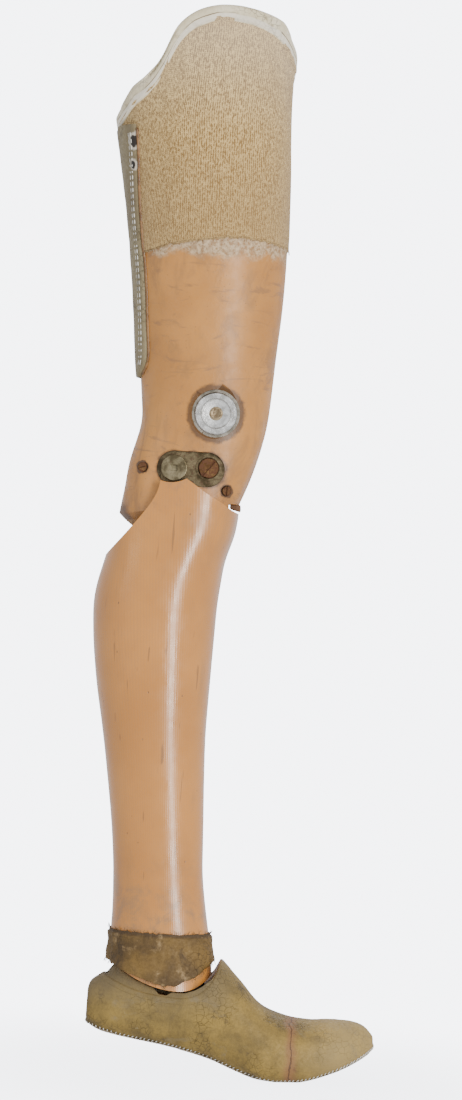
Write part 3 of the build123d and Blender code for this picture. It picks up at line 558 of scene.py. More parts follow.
def skin_point(surface, angle, z, lift=0.0):
    """The thigh's outside at that angle round its middle and that height, lifted off it a little."""
    way = turn(angle)
    place, _ = surface.inward(thigh_middle(z), way)
    return None if place is None else place + way * lift


def edge_at(surface, angle, inside, outside):
    return last_true(lambda z: skin_point(surface, angle, z) is not None, inside, outside)


COLUMNS = 300
angles = [math.pi + 2 * math.pi * c / COLUMNS for c in range(COLUMNS)]
hem = [edge_at(sleeve_only, a, KNEE.z + 0.24, KNEE.z + 0.15) for a in angles]


def brim_top(angle):
    low = KNEE.z + 0.30
    return last_true(lambda z: skin_point(wrapped, angle, z) is not None, low, KNEE.z + 0.42)


top = [brim_top(a) for a in angles]


def brim_foot(angle, crest):
    """The lower edge of the binding's outside."""
    z = crest - 0.002
    while z > crest - 0.04 and skin_point(binding_only, angle, z) is not None:
        z -= 0.001
    return z


brim_low = [brim_foot(a, t) for a, t in zip(angles, top)]


def smoothed(values, width=4, closed=True):
    """A running mean that keeps a closed row closed."""
    count = len(values)
    picked = []
    for i in range(count):
        near = [values[(i + k) % count] if closed else values[min(max(i + k, 0), count - 1)]
                for k in range(-width, width + 1)]
        picked.append(sum(near[1:], near[0]) / len(near))
    return picked


top, brim_low, hem = smoothed(top, 2), smoothed(brim_low, 3), smoothed(hem, 3)

rows = []
SLEEVE_ROWS = 70
for r in range(-1, SLEEVE_ROWS + 1):
    row = []
    for c, a in enumerate(angles):
        share = max(r, 0) / SLEEVE_ROWS
        tear = 2.6 * max(0.0, noise.noise(Vector((a * 9.0, 3.1, 0)))) ** 2
        tear -= 0.5 * noise.noise(Vector((a * 60, 0, 7)))
        low = hem[c] + tear * 2.2 * MM
        z = low + (brim_low[c] + 3 * MM - low) * share
        wave = 0.25 * MM * rough(Vector((math.cos(a), math.sin(a), z * 4)), 0.12)
        flare = 0.35 * MM * math.exp(-share * 60)
        lift = -0.9 * MM if r < 0 else wave + flare + 0.15 * MM
        row.append(skin_point(wrapped, a, z, lift) or rows[-1][c] + UP * 3 * MM)
    rows.append(row)
sleeve = grid_piece("knit_sleeve", rows, closed=True)
finish_piece(sleeve, knit("knit"), "thigh", ["stockinette_sleeve"])

# the hem's loose ends
rng = random.Random(5)
lines = []
for _ in range(150):
    a = rng.uniform(0, 2 * math.pi)
    c = int((a - math.pi) / (2 * math.pi) * COLUMNS) % COLUMNS
    start = skin_point(wrapped, a, hem[c] + 0.3 * MM, 0.5 * MM)
    if start is None:
        continue
    drop = rng.uniform(1.2, 4.5) * MM
    drift = rng.uniform(-1.6, 1.6) * MM
    side = Vector((-math.sin(a), math.cos(a), 0))
    line = []
    for k in range(5):
        s = k / 4
        lifted = turn(a) * (0.2 + 0.8 * s * rng.random()) * MM
        line.append(start + side * drift * s * s + lifted - UP * drop * s)
    lines.append(line)
finish_piece(threads("hem_threads", lines, 0.16 * MM), thread_look("hem_thread", (0.62, 0.48, 0.31)),
             "thigh")

# leather folded over the brim
rows = []
OUTSIDE, ARC, INSIDE = 9, 9, 9
LIFT = 0.35 * MM
for step in range(OUTSIDE + ARC + INSIDE + 2):
    rows.append([])
for c, a in enumerate(angles):
    way = turn(a)
    crest, low = top[c] - 4.2 * MM, brim_low[c] - 1.2 * MM
    outer = skin_point(wrapped, a, crest - 2 * MM)
    inner = wrapped.outward(thigh_middle(crest - 2 * MM), way)
    outer = outer if outer is not None else inner + way * 8 * MM
    half = (outer - inner).length / 2
    mid = (outer + inner) / 2
    line = []
    for k in range(OUTSIDE):
        z = low + (crest - low) * k / (OUTSIDE - 1)
        crease = 0.35 * MM * rough(Vector((math.cos(a) * 0.08, math.sin(a) * 0.08, z)), 0.007, 3)
        p = skin_point(wrapped, a, z, LIFT + crease)
        line.append(p if p is not None else mid + way * (half + LIFT) + UP * (z - mid.z))
    line.insert(0, line[0] - way * 2.2 * MM)
    for k in range(1, ARC + 1):
        b = math.pi * k / (ARC + 1)
        crease = 1 + 0.05 * rough(Vector((math.cos(a) * 0.08, math.sin(a) * 0.08, b * 0.01)), 0.009, 6)
        line.append(Vector((mid.x, mid.y, crest)) + way * math.cos(b) * (half + LIFT) * crease
                    + UP * math.sin(b) * (top[c] - crest + LIFT) * crease)
    for k in range(INSIDE):
        z = crest - 27 * MM * k / (INSIDE - 1)
        p = wrapped.outward(thigh_middle(z), way)
        p = p if p is not None else mid - way * half + UP * (z - mid.z)
        line.append(p - way * LIFT)
    line.append(line[-1] + way * 1.5 * MM)
    for step, p in enumerate(line):
        if step >= len(rows):
            rows.append([])
        rows[step].append(p)
rows = [smoothed(row, 1) for row in rows]
brim = subdivided(grid_piece("brim_leather_binding", rows, closed=True))


def brim_marks(look, colour):
    """The pale worn band below the fold and the dark crack beside it."""
    v = look.math("ADD", look.part(look.flat, 1), look.math("MULTIPLY", look.noise(look.place, 60, 4), 0.003))
    band = look.math("MULTIPLY", look.fit(v, 0.0045, 0.0055), look.fit(v, 0.0105, 0.0115, 1.0, 0.0))
    colour = look.mix(look.math("MULTIPLY", band, 0.55), colour, (0.86, 0.80, 0.68))
    line = look.math("MULTIPLY", look.fit(v, 0.0112, 0.0117), look.fit(v, 0.0120, 0.0126, 1.0, 0.0))
    worn = look.fit(look.noise(look.place, 24, 3), 0.42, 0.55)
    return look.mix(look.math("MULTIPLY", line, worn), colour, (0.16, 0.10, 0.05))


cream = leather("cream_leather", (0.86, 0.77, 0.56), (0.70, 0.60, 0.38), (0.40, 0.31, 0.17), 0.6, 0.5,
                extra=brim_marks)
finish_piece(brim, cream, "thigh", ["brim_binding"])

# the strip down the back: its edges are where the CAD strip's are
strip_rows, edges = [], []
strip_low, strip_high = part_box("rear_strip")
levels = np.linspace(strip_low.z + 0.4 * MM, strip_high.z - 0.4 * MM, 130)


def strip_edge(z, sign):
    inside = math.pi
    if skin_point(strip_only, inside, z) is None:
        return None
    outside = inside
    while skin_point(strip_only, outside, z) is not None and abs(outside - inside) < 2.4:
        outside += sign * 0.02
    return last_true(lambda b: skin_point(strip_only, b, z) is not None, outside - sign * 0.02, outside)


for z in levels:
    low, high = strip_edge(z, 1), strip_edge(z, -1)
    if low is not None and high is not None:
        edges.append((z, low, high))
STRIP_COLUMNS = 46
lows = smoothed([e[1] for e in edges], 3, closed=False)
highs = smoothed([e[2] for e in edges], 3, closed=False)
for (z, _, _), low, high in zip(edges, lows, highs):
    row = []
    for k in range(STRIP_COLUMNS + 1):
        share = k / STRIP_COLUMNS
        a = low + (high - low) * share
        p = skin_point(strip_only, a, z) or skin_point(wrapped, a, z, 3 * MM)
        rim = min(share, 1 - share) * abs(high - low) * 55 * MM
        round_off = 1.3 * MM * math.exp(-rim / (1.1 * MM))
        dent = 0.35 * MM * rough(p, 0.018, 2) - 0.5 * MM * math.exp(-((rim - 6.5 * MM) / (1.2 * MM)) ** 2)
        row.append(p + turn(a) * (0.5 * MM + dent - round_off))
    first, last = row[0], row[-1]
    row = [first - turn(low) * 3.4 * MM] + row + [last - turn(high) * 3.4 * MM]
    strip_rows.append(row)
under = [p - turn(math.pi + (k - 24) * -0.05) * 3 * MM - UP * 0.2 * MM for k, p in enumerate(strip_rows[0])]
strip_rows.insert(0, under)
strip = subdivided(grid_piece("rear_leather_strip", strip_rows))
hole_a, hole_b = strip_rows[-9][2], strip_rows[-20][3]


def strip_marks(look, colour):
    """Two torn holes near the top, painted as near-black discs for the shade inside them, with pale torn
    lips.
    """
    for hole, size in ((hole_a, 0.0052), (hole_b, 0.0034)):
        colour = look.mix(look.near(hole, size * 1.5, 0.45, 260), colour, (0.52, 0.46, 0.36))
        # painted shade: the holes' dark insides
        colour = look.mix(look.near(hole, size, 0.5, 300), colour, (0.022, 0.016, 0.012))
    return colour


olive = leather("strip_leather", (0.29, 0.235, 0.125), (0.2, 0.155, 0.08), (0.11, 0.078, 0.036), 0.55, 0.55,
                extra=strip_marks)
finish_piece(strip, olive, "thigh", ["rear_strip"])

# its stitching and the bead of varnish along its edges
dashes = []
beads = []
for side in (1, -1):
    for inset in (5.2 * MM, 9.6 * MM):
        run = []
        for row in strip_rows[6:-2]:
            cells = row[1:-1] if side > 0 else row[1:-1][::-1]
            gone = 0.0
            for p, q in zip(cells, cells[1:]):
                step = (q - p).length
                if gone + step >= inset:
                    run.append(p.lerp(q, (inset - gone) / step))
                    break
                gone += step
        run = smoothed(run, 2, closed=False)
        gone, start = 0.0, None
        pitch, dash = 5.4 * MM, 3.3 * MM
        for p, q in zip(run, run[1:]):
            away = (Vector((p.x, p.y, 0)) - Vector((thigh_middle(p.z).x, 0, 0))).normalized()
            place = gone % pitch
            if place < dash and start is None:
                start = p + away * 0.35 * MM
            elif place >= dash and start is not None:
                dashes.append((start, p + away * 0.35 * MM))
                start = None
            gone += (q - p).length
    beads.append([row[1 if side > 0 else -2] for row in strip_rows[2:-1]])
finish_piece(capsules("strip_stitching", dashes, 0.5 * MM), thread_look("strip_thread", (0.80, 0.76, 0.66)),
             "thigh")
seams = []
for bead in beads:
    path = []
    for p in bead:
        middle = thigh_middle(p.z)
        a = math.atan2(p.y - middle.y, p.x - middle.x)
        side = 1 if p.y > 0 else -1
        skin = skin_point(wrapped, a - side * 0.016, p.z)
        if skin is not None:
            path.append(skin + turn(a) * 0.3 * MM)
    seams.append(smoothed(path, 2, closed=False))
glue = Look("edge_varnish", Specular_IOR_Level=0.5)
glue_tone = glue.noise(glue.place, 120, 6, 0.7)
glue_skin = glue.done(glue.mix(glue.fit(glue_tone, 0.35, 0.65), (0.13, 0.058, 0.016), (0.30, 0.15, 0.05)),
                      glue.fit(glue_tone, 0.3, 0.7, 0.25, 0.5), glue.bump(glue_tone, 0.0006))
finish_piece(threads("strip_edge_varnish", seams, 1.35 * MM, 8), glue_skin, "thigh")


# ---- padded and rubber parts ----
def remeshed(node, name, voxel, shrink=0.0):
    """A new object from a CAD node's shape, with an even mesh."""
    mesh = NODES[node].data.copy()
    mesh.materials.clear()
    piece = bpy.data.objects.new(name, mesh)
    bpy.context.scene.collection.objects.link(piece)
    modifier = piece.modifiers.new("even", "REMESH")
    modifier.mode, modifier.voxel_size = "VOXEL", voxel
    if shrink:
        inset = piece.modifiers.new("inset", "DISPLACE")
        inset.strength, inset.mid_level = -shrink, 0.0
    soften = piece.modifiers.new("soft", "SMOOTH")
    soften.factor, soften.iterations = 0.5, 4
    return baked(piece)


def baked(piece):
    """The same object with its modifiers applied."""
    view = bpy.context.evaluated_depsgraph_get()
    mesh = bpy.data.meshes.new_from_object(piece.evaluated_get(view))
    piece.modifiers.clear()
    piece.data = mesh
    mesh.shade_smooth()
    return piece


def swollen(piece, pressure, cap):
    """Puffs a padded piece up with the cloth simulation, by no more than cap."""
    rest = np.array([v.co[:] for v in piece.data.vertices])
    cloth = piece.modifiers.new("cloth", "CLOTH")
    cloth.settings.use_pressure = True
    cloth.settings.uniform_pressure_force = pressure
    cloth.settings.effector_weights.gravity = 0.0
    cloth.settings.quality = 5
    cloth.point_cache.frame_start, cloth.point_cache.frame_end = 1, 20
    for step in range(1, 21):
        bpy.context.scene.frame_set(step)
    piece = baked(piece)
    moved = np.array([v.co[:] for v in piece.data.vertices])
    shift = moved - rest
    size = np.linalg.norm(shift, axis=1, keepdims=True)
    shift *= np.minimum(1.0, cap / np.maximum(size, 1e-9))
    piece.data.vertices.foreach_set("co", (rest + shift).ravel())
    piece.data.update()
    bpy.context.scene.frame_set(1)
    return piece


pad = remeshed("ischial_seat_pad", "ischial_seat_cushion", 3.2 * MM, shrink=1.0 * MM)
pad = swollen(pad, 4.0, 3.0 * MM)
subdivided(pad)
seat = leather("seat_leather", (0.44, 0.37, 0.245), (0.33, 0.27, 0.165), (0.17, 0.125, 0.07), 0.6, 0.5)
finish_piece(pad, seat, "thigh", ["ischial_seat_pad"])

black = rubber("black_rubber")
for node, voxel in (("valve_gasket", 0.45), ("valve_flap", 0.45)):
    finish_piece(remeshed(node, node + "_rubber", voxel * MM), black, "thigh", [node])
buffer = remeshed("extension_buffer", "extension_buffer_leather", 0.8 * MM)
# its front half is drawn out towards the front of the knee
for vertex in buffer.data.vertices:
    ahead = vertex.co.x - KNEE.x - 53 * MM
    vertex.co.x += 0.75 * max(0.0, ahead)
dark_leather = leather("buffer_leather", (0.17, 0.085, 0.04), (0.09, 0.045, 0.022), (0.04, 0.02, 0.01),
                       0.6, 0.6)
finish_piece(buffer, dark_leather, "thigh", ["extension_buffer"])
for node in ("heel_bumper", "instep_bumper"):
    bumper = remeshed(node, node + "_rubber", 1.2 * MM)
    finish_piece(bumper, black, "foot", [node])
    low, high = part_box(node)
    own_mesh(bumper)
wedge = remeshed("toe_bumper", "toe_bumper_rubber", 1.2 * MM)
finish_piece(wedge, black, "foot", ["toe_bumper"])
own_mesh(wedge)


# ---- ankle cuff ----
cuff_only = Surface("ankle_cuff")
ankle_skin = Surface("shin_shell", "ankle_cuff")
cuff_low_box, cuff_high_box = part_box("ankle_cuff")
cuff_middle = Vector(((cuff_low_box.x + cuff_high_box.x) / 2, 0, 0))
CUFF_COLUMNS = 260


def cuff_point(angle, z, lift):
    centre = Vector((cuff_middle.x, 0, z))
    place, _ = ankle_skin.inward(centre, turn(angle))
    return None if place is None else place + turn(angle) * lift


def cuff_bottom(angle):
    """The lower edge of the CAD cuff in that direction."""
    def hit(z):
        return cuff_only.inward(Vector((cuff_middle.x, 0, z)), turn(angle), 0.12)[0] is not None
    return last_true(hit, cuff_high_box.z - 3 * MM, cuff_low_box.z - 2 * MM)


cuff_angles = [math.pi + 2 * math.pi * c / CUFF_COLUMNS for c in range(CUFF_COLUMNS)]
bottoms = smoothed([cuff_bottom(a) for a in cuff_angles], 2)
CUFF_ROWS = 30
rows = []
inside_rows = []
for r in range(CUFF_ROWS + 1):
    row, inner = [], []
    for c, a in enumerate(cuff_angles):
        share = r / CUFF_ROWS
        tooth = noise.noise(Vector((a * 7, 1.7, 0))) + 0.6 * noise.noise(Vector((a * 23, 4.2, 0)))
        low = bottoms[c] - 0.6 * MM + 1.5 * MM * tooth
        if math.cos(a) > 0.2:
            low += 3.5 * MM * max(0.0, noise.noise(Vector((a * 4.0 + 2.0, 8, 0))))
        high = cuff_high_box.z + 3.0 * MM + 1.6 * MM * noise.noise(Vector((a * 9, 9.1, 0))) \
            + 1.1 * MM * noise.noise(Vector((a * 31, 2.2, 5)))
        z = low + (high - low) * share
        point = cuff_point(a, max(z, bottoms[c] + 0.8 * MM), 0.0)
        if point is None:
            point = rows[-1][c] if rows else cuff_point(a, bottoms[c] + 3 * MM, 0.0)
        point = Vector((point.x, point.y, z))
        fold = 1.0 * MM * rough(Vector((math.cos(a) * 0.04, math.sin(a) * 0.04, z * 1.3)), 0.013, 4)
        fold += 0.5 * MM * rough(Vector((math.cos(a) * 0.04, math.sin(a) * 0.04, z)), 0.005, 9)
        lips = 1.3 * MM * math.exp(-share * 9) * (1 + math.sin(a * 5)) * 0.5
        lips += 1.1 * MM * math.exp(-(1 - share) * 11)
        row.append(point + turn(a) * (0.7 * MM + fold + lips))
        inner.append(row[-1] - turn(a) * 1.3 * MM)
    rows.append(row)
    inside_rows.append(inner)
rows = [inside_rows[3], inside_rows[1], inside_rows[0]] + rows + [inside_rows[-1], inside_rows[-3]]
cuff = subdivided(grid_piece("ankle_leather_cuff", rows, closed=True))


def cuff_marks(look, colour):
    """Dark frayed edges and a paler scuffed middle."""
    waver = look.math("MULTIPLY", look.noise(look.place, 150, 5), 0.004)
    z = look.math("ADD", look.part(look.place, 2), waver)
    edge = look.fit(z, cuff_high_box.z + 0.5 * MM, cuff_high_box.z + 3.5 * MM)
    colour = look.mix(look.math("MULTIPLY", edge, 0.85), colour, (0.06, 0.035, 0.015))
    scuff = look.fit(look.noise(look.place, 70, 6, 0.7), 0.56, 0.7)
    return look.mix(look.math("MULTIPLY", scuff, 0.5), colour, (0.42, 0.28, 0.13))


brown = leather("cuff_leather", (0.19, 0.11, 0.026), (0.08, 0.046, 0.014), (0.03, 0.018, 0.009), 0.5, 0.66,
                extra=cuff_marks)
finish_piece(cuff, brown, "shin", ["ankle_cuff"])
lines = []
for _ in range(190):
    c = rng.randrange(CUFF_COLUMNS)
    up = rng.random() < 0.55
    row = rows[-3] if up else rows[3]
    start = row[c]
    a = cuff_angles[c]
    side = Vector((-math.sin(a), math.cos(a), 0))
    reach = rng.uniform(1.0, 3.6) * MM
    drift = rng.uniform(-2.2, 2.2) * MM
    lift = rng.uniform(0.2, 1.4) * MM
    lines.append([start + UP * (reach if up else -reach) * (k / 3) + side * drift * (k / 3) ** 2
                  + turn(a) * lift * (k / 3) for k in range(4)])
finish_piece(threads("cuff_frayed_fibres", lines, 0.17 * MM), thread_look("cuff_fibre", (0.16, 0.10, 0.045)),
             "shin")


# ---- the foot's leather, cast from a line of places inside the foot ----
foot_skin = Surface("foot_upper", "toe_upper", "foot_sole", "toe_sole", "foot_block", "toe_block")
LEATHER_NODES = ("foot_upper", "toe_upper")
heel_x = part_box("foot_upper")[0].x + 38 * MM
tip_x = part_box("toe_upper")[1].x - 36 * MM
gap_from, gap_to = TOE.x - 9 * MM, TOE.x + 9.5 * MM


def foot_origin(x):
    """A place inside the foot: half way across it, and low where the foot is low."""
    share = (x - heel_x) / (tip_x - heel_x)
    z = KNEE.z + (-487 - 17 * math.sin(min(share, 1.0) * 2.3) * min(1.0, share * 1.6)) * MM
    probe = Vector((x, 0, z))
    near = foot_skin.inward(probe, Vector((0, -1, 0)))[0]
    far = foot_skin.inward(probe, Vector((0, 1, 0)))[0]
    if near is not None and far is not None:
        probe.y = (near.y + far.y) / 2
    return probe


def station(side, place):
    """The origin and the level outward direction at a place from 0, the heel, to 1, the toe tip."""
    heel_turn, toe_turn = 0.14, 0.86
    if place < heel_turn:
        b = math.pi / 2 * place / heel_turn
        return foot_origin(heel_x), Vector((-math.cos(b), side * math.sin(b), 0))
    if place > toe_turn:
        b = math.pi / 2 * (place - toe_turn) / (1 - toe_turn)
        return foot_origin(tip_x), Vector((math.sin(b), side * math.cos(b), 0))
    share = (place - heel_turn) / (toe_turn - heel_turn)
    return foot_origin(heel_x + (tip_x - heel_x) * share), Vector((0, side, 0))


# A line over the foot: where its rays are cast from, the level way out, the angle of the sole's edge,
# the angle where the leather ends, and whether it ends there at the ankle's opening.
Station = namedtuple("Station", "origin level low rim opened")


def foot_hit(origin, level, tilt):
    way = level * math.cos(tilt) + UP * math.sin(tilt)
    return foot_skin.inward(origin, way, 0.14)


PLACES = 150
UPPER_STEPS, SOLE_STEPS = 26, 9
sides = {}
for side in (-1, 1):
    stations = []
    for k in range(PLACES + 1):
        origin, level = station(side, k / PLACES)
        if gap_from < origin.x < gap_to:
            stations.append(None)
            continue
        start = math.radians(10)
        while start > -1.4 and foot_hit(origin, level, start)[1] in LEATHER_NODES:
            start -= 0.03
        sole_tilt = last_true(lambda b: foot_hit(origin, level, b)[1] in LEATHER_NODES, start + 0.03, start)
        end = sole_tilt + 0.05
        while end < math.pi / 2 and foot_hit(origin, level, end)[1] in LEATHER_NODES:
            end += 0.03
        opened = end < math.pi / 2
        rim = last_true(lambda b: foot_hit(origin, level, b)[1] in LEATHER_NODES, end - 0.03, end) if opened \
            else math.pi / 2
        stations.append(Station(origin, level, sole_tilt, rim, opened))
    uppers, soles = [], []
    for s in stations:
        if s is None:
            uppers.append(None)
            soles.append(None)
            continue
        origin, level, low, high, _ = s
        upper = []
        for r in range(UPPER_STEPS + 1):
            tilt = low + (high - low) * (r / UPPER_STEPS)
            hit = foot_hit(origin, level, min(tilt, math.pi / 2 - 1e-4))[0]
            way = (hit - origin).normalized()
            crease = 0.28 * MM * rough(hit, 0.011, 1) + 0.22 * MM * rough(hit, 0.0045, 5)
            upper.append(hit + way * (0.35 * MM + crease))
        sole = []
        for r in range(SOLE_STEPS + 1):
            tilt = low - (low + math.pi / 2 - 1e-3) * (r / SOLE_STEPS)
            hit = foot_hit(origin, level, tilt)[0]
            way = (hit - origin).normalized()
            sole.append(hit + way * (0.75 * MM if 0 < r else 0.95 * MM))
        uppers.append(upper)
        soles.append(sole)
    for table in (uppers, soles):
        missing = [k for k, line in enumerate(table) if line is None]
        first, last = missing[0] - 1, missing[-1] + 1
        for k in missing:
            share = (k - first) / (last - first)
            sag = 0.8 * MM * math.sin(math.pi * share)
            table[k] = [p.lerp(q, share) for p, q in zip(table[first], table[last])]
            if table is uppers:
                middle = foot_origin(TOE.x)
                table[k] = [p - (p - middle).normalized() * sag * (r / UPPER_STEPS)
                            for r, p in enumerate(table[k])]
    sides[side] = (stations, uppers, soles)


def sewn(name, near, far):
    """Two side grids joined along their meeting edges."""
    one, two = grid_piece(name, near), grid_piece(name + "_far", far)
    shape = bmesh.new()
    shape.from_mesh(one.data)
    shape.from_mesh(two.data)
    bmesh.ops.remove_doubles(shape, verts=shape.verts, dist=0.12 * MM)
    bmesh.ops.dissolve_degenerate(shape, edges=shape.edges, dist=0.02 * MM)
    bmesh.ops.recalc_face_normals(shape, faces=shape.faces)
    shape.to_mesh(one.data)
    shape.free()
    bpy.data.objects.remove(two)
    one.data.shade_smooth()
    return one


def turned_in(table, stations, depth):
    """The same lines with the leather's edge turned in at an opening."""
    out = []
    for k, line in enumerate(table):
        s = stations[k]
        if s is not None and s.opened:
            inward = (s.origin - line[-1]).normalized()
            out.append(line + [line[-1] + inward * depth, line[-2] + inward * depth])
        else:
            out.append(line + [line[-1], line[-1]])
    return out


foot_cover = sewn("foot_leather", turned_in(sides[-1][1], sides[-1][0], 1.2 * MM),
                  turned_in(sides[1][1], sides[1][0], 1.2 * MM))
sole_cover = sewn("foot_sole_leather", sides[-1][2], sides[1][2])
crease_at = Vector((TOE.x + 2 * MM, 0, TOE.z))


def foot_marks(look, colour):
    """Dark grime round the ankle, a worn pale toe, a red-brown crease with painted shade along its fold, and
    grey and white patches.
    """
    x, z = look.part(look.place, 0), look.part(look.place, 2)
    grime = look.math("ADD", z, look.math("MULTIPLY", look.noise(look.place, 42, 6, 0.65), 0.03))
    behind = look.fit(x, TOE.x - 0.075, TOE.x - 0.04, 1.0, 0.0)
    top_dark = look.math("MULTIPLY", look.fit(grime, KNEE.z - 0.470, KNEE.z - 0.436), behind)
    colour = look.mix(look.math("MULTIPLY", top_dark, 0.72), colour, (0.13, 0.098, 0.052))
    toe_end = look.fit(x, TOE.x + 0.004, TOE.x + 0.05)
    colour = look.mix(look.math("MULTIPLY", toe_end, 0.5), colour, (0.50, 0.35, 0.13))
    bend = look.math("ABSOLUTE", look.math("ADD", look.math("SUBTRACT", x, crease_at.x), look.math(
        "MULTIPLY", look.math("SUBTRACT", look.noise(look.place, 60, 5), 0.5), 0.012)))
    red = look.math("MULTIPLY", look.fit(bend, 0.001, 0.008, 1.0, 0.0), 0.7)
    colour = look.mix(red, colour, (0.24, 0.105, 0.045))
    # painted shade: a thin dark line along the crease's fold
    crease_shade = look.math("MULTIPLY", look.fit(bend, 0.0002, 0.001, 1.0, 0.0), 0.8)
    colour = look.mix(crease_shade, colour, (0.06, 0.03, 0.015))
    patches = look.noise(look.stretched(look.place, (1, 1, 1.6), (2, 0, 1)), 30, 7, 0.7, 0.8)
    grey = look.fit(patches, 0.56, 0.7)
    colour = look.mix(look.math("MULTIPLY", grey, 0.5), colour, (0.21, 0.165, 0.095))
    white = look.fit(look.noise(look.stretched(look.place, (1, 1, 1), (7, 3, 1)), 85, 6, 0.7), 0.66, 0.74)
    return look.mix(look.math("MULTIPLY", white, 0.35), colour, (0.60, 0.52, 0.38))


tan = leather("foot_leather", (0.31, 0.20, 0.042), (0.145, 0.096, 0.026), (0.06, 0.042, 0.02), 0.5, 0.6,
              extra=foot_marks)
finish_piece(subdivided(foot_cover), tan, None, ["foot_upper", "toe_upper"])
sole_skin = leather("sole_leather", (0.40, 0.30, 0.165), (0.25, 0.175, 0.085), (0.11, 0.075, 0.036), 0.8, 0.7)
finish_piece(subdivided(sole_cover), sole_skin, None, ["foot_sole", "toe_sole"])
for piece in (foot_cover, sole_cover):
    piece = baked(piece)
    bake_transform(piece)

# whip stitches over the sole's edge
dashes = []
for side in (-1, 1):
    line = [(u[0], u[1], s[1]) for u, s in zip(sides[side][1], sides[side][2])]
    gone, next_at = 0.0, 0.0
    for (edge, above, below), (edge2, above2, below2) in zip(line, line[1:]):
        step = (edge2 - edge).length
        while next_at < gone + step:
            share = (next_at - gone) / step
            middle = edge.lerp(edge2, share)
            inside = foot_origin(min(max(middle.x, heel_x), tip_x))
            out = Vector((middle.x - inside.x, middle.y - inside.y, 0)).normalized()
            up = (above.lerp(above2, share) - middle).normalized()
            down = (below.lerp(below2, share) - middle).normalized()
            along = (edge2 - edge).normalized()
            wander = rng.uniform(-0.35, 0.35) * MM
            dashes.append((middle + up * 2.3 * MM + out * 0.75 * MM + along * (0.8 * MM + wander),
                           middle + down * 1.1 * MM + out * 0.95 * MM - along * 0.8 * MM))
            next_at += (3.6 + rng.uniform(-0.3, 0.3)) * MM
        gone += step
stitches = capsules("sole_whip_stitches", dashes, 0.5 * MM)
finish_piece(stitches, thread_look("sole_thread", (0.74, 0.70, 0.60)))
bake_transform(stitches)

# the leather's torn upper edge round the ankle, which follows both the shin and the foot
block_low = Surface("ankle_block", "shin_shell")
collar = []
for side in (-1, 1):
    stations, uppers, _ = sides[side]
    lines = []
    for k, s in enumerate(stations):
        if s is None or not s.opened:
            continue
        level = s.level
        crest = uppers[k][-1]
        lower = uppers[k][-4]
        over = block_low.tree.ray_cast(Vector((crest.x, 0, crest.z - 12 * MM)), UP, 0.06)[0]
        limit = (over.z if over is not None else crest.z) - 0.9 * MM
        lines.append((crest, lower, level, limit))
    collar.append(lines)
loop = collar[0][::-1] + collar[1][1:]
rows = []
CLIMB = 5
for step in range(-2, CLIMB + 3):
    row = []
    for i, (crest, lower, level, limit) in enumerate(loop):
        ragged = 0.9 * MM * noise.noise(Vector((i * 0.31, 2.0, 0)))
        ragged += 0.5 * MM * noise.noise(Vector((i * 0.9, 7.0, 0)))
        rise = min(max(limit - crest.z, 0.6 * MM), 11 * MM) + ragged
        lean = 0.62 if level.x < -0.5 else 0.3
        crumple = 0.7 * MM * rough(crest, 0.01, 8)
        if step < 0:
            p = crest.lerp(lower, -step / 2) + level * 0.3 * MM
        elif step <= CLIMB:
            share = step / CLIMB
            p = crest + UP * rise * share - level * (rise * lean * share + crumple * share) + level * 0.3 * MM
        else:
            depth = step - CLIMB
            p = crest + UP * (rise - 1.0 * MM * depth) - level * (rise * lean + crumple + 1.0 * MM)
        row.append(p)
    rows.append(smoothed(row, 1, closed=False))
collar_piece = baked(subdivided(grid_piece("ankle_opening_leather", rows)))
finish_piece(collar_piece, tan)
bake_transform(collar_piece)

# ---- hard parts that stay as the CAD has them ----
hem_height = float(np.mean([hem[c] for c in range(COLUMNS)]))
paint(thigh_lacquer("thigh_lacquer", hem_height), "thigh_shell")
paint(shin_lacquer("shin_lacquer"), "shin_shell", "ankle_block")
paint(wood("hardwood"), "knee_block", "foot_block", "toe_block")
STEEL_NODES = (
    "bearing_plate_outer", "bearing_plate_inner", "knee_strap_outer", "knee_strap_inner", "ankle_stirrup",
    "stirrup_washer", "stirrup_nut", "strap_rivets", "toe_hinge_rear_leaf", "toe_hinge_front_leaf",
    "toe_hinge_pin", "ankle_pin", "valve_spring",
)
steel = metal("tarnished_steel", (0.19, 0.15, 0.085), (0.07, 0.052, 0.026), (0.09, 0.045, 0.018), 0.55, 0.42)
paint(steel, *STEEL_NODES)
axle_steel = metal("axle_steel", (0.26, 0.22, 0.13), (0.11, 0.086, 0.045), (0.10, 0.055, 0.025), 0.4, 0.36,
                   turned_round=tuple(middle_of("knee_axle")))
paint(axle_steel, "knee_axle", "knee_axle_cap")
rusty = metal("rusty_screws", (0.20, 0.11, 0.045), (0.09, 0.045, 0.018), (0.10, 0.035, 0.012), 0.75, 0.5)
paint(rusty, "bearing_plate_screws", "knee_block_screws")
paint(metal("bronze", (0.44, 0.29, 0.12), (0.24, 0.15, 0.06), (0.10, 0.08, 0.04), 0.4, 0.4), "knee_bushes")
bright = metal("valve_aluminium", (0.74, 0.74, 0.72), (0.52, 0.51, 0.47), (0.26, 0.23, 0.17), 0.35, 0.3,
               turned_round=VALVE)
paint(bright, "valve_body")
paint(metal("valve_rim", (0.34, 0.31, 0.26), (0.20, 0.18, 0.14), (0.12, 0.09, 0.05), 0.5, 0.42,
            turned_round=VALVE), "valve_housing")
paint(metal("valve_button_brown", (0.33, 0.26, 0.16), (0.22, 0.16, 0.09), (0.12, 0.07, 0.03), 0.6, 0.45,
            turned_round=VALVE), "valve_button")

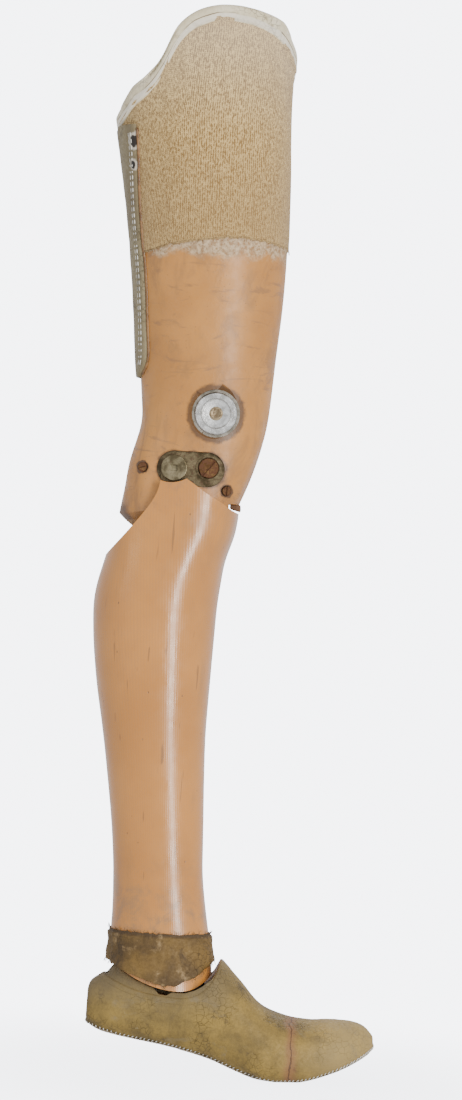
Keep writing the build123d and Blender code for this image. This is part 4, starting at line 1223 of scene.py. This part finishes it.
# ---- floor, light and camera ----
low, high = cad_box
floor_mesh = bpy.data.meshes.new("floor")
ring = bmesh.new()
bmesh.ops.create_circle(ring, cap_ends=True, segments=96, radius=1.6)
ring.to_mesh(floor_mesh)
ring.free()
floor = bpy.data.objects.new("floor", floor_mesh)
floor.location = ((low.x + high.x) / 2, 0, low.z - 0.4 * MM)
bpy.context.scene.collection.objects.link(floor)
ground = Look("pale_floor", Specular_IOR_Level=0.15)
grain = ground.noise(ground.place, 5, 4)
speckle = ground.mix(ground.fit(grain, 0.3, 0.7), (0.86, 0.86, 0.875), (0.89, 0.89, 0.90))
ground_skin = ground.done(speckle, 0.8)
away = ground.add("ShaderNodeVectorMath", {0: ground.place}, output="Value", operation="LENGTH")
clear = ground.add("ShaderNodeBsdfTransparent", {})
fade = ground.fit(away, 0.1, 0.5, 0.72, 1.0)
blend = ground.add("ShaderNodeMixShader", {0: fade, 1: ground.shader.outputs[0], 2: clear})
ground.links.new(blend, ground.nodes["Material Output"].inputs["Surface"])
floor.data.materials.append(ground_skin)

world = bpy.context.scene.world or bpy.data.worlds.new("pale")
bpy.context.scene.world = world
world.use_nodes = True
sky = world.node_tree.nodes["Background"]
sky.inputs["Color"].default_value = (0.93, 0.945, 1.0, 1)
path = world.node_tree.nodes.new("ShaderNodeLightPath")
glow = world.node_tree.nodes.new("ShaderNodeMapRange")
glow.inputs["To Min"].default_value, glow.inputs["To Max"].default_value = 0.95, 6.5
world.node_tree.links.new(path.outputs["Is Camera Ray"], glow.inputs["Value"])
world.node_tree.links.new(glow.outputs["Result"], sky.inputs["Strength"])


def lamp(name, place, aim, size, power, tint=(1, 1, 1)):
    light = bpy.data.lights.new(name, "AREA")
    light.shape, light.size, light.size_y = "RECTANGLE", size[0], size[1]
    light.energy, light.color = power, tint
    lit = bpy.data.objects.new(name, light)
    lit.location = place
    lit.rotation_mode = "QUATERNION"
    lit.rotation_quaternion = (Vector(aim) - Vector(place)).to_track_quat("-Z", "Y")
    bpy.context.scene.collection.objects.link(lit)


centre = (low + high) / 2
lamp("key", (1.15, -1.85, -0.3), centre, (0.3, 1.9), 46, (1.0, 0.985, 0.96))
lamp("fill", (-1.8, -1.5, 0.5), centre, (1.2, 1.6), 9)
lamp("back", (0.6, 2.0, 1.1), centre, (1.2, 1.2), 14)

LEAN = math.radians(3.5)
SEEN = 974.6 * MM
AIM = at(53.9, 0, -68.6)
DISTANCE = 3.2
camera = bpy.data.cameras.new("camera")
camera.sensor_width = 36.0
camera.lens = camera.sensor_width * DISTANCE / SEEN
camera.clip_start, camera.clip_end = 0.05, 50
eye = bpy.data.objects.new("camera", camera)
right, top_way = Vector((math.cos(LEAN), 0, math.sin(LEAN))), Vector((-math.sin(LEAN), 0, math.cos(LEAN)))
eye.matrix_world = Matrix.Translation(AIM - Vector((0, DISTANCE, 0))) @ Matrix(
    (right, top_way, Vector((0, -1, 0)))).transposed().to_4x4()
bpy.context.scene.collection.objects.link(eye)
bpy.context.scene.camera = eye
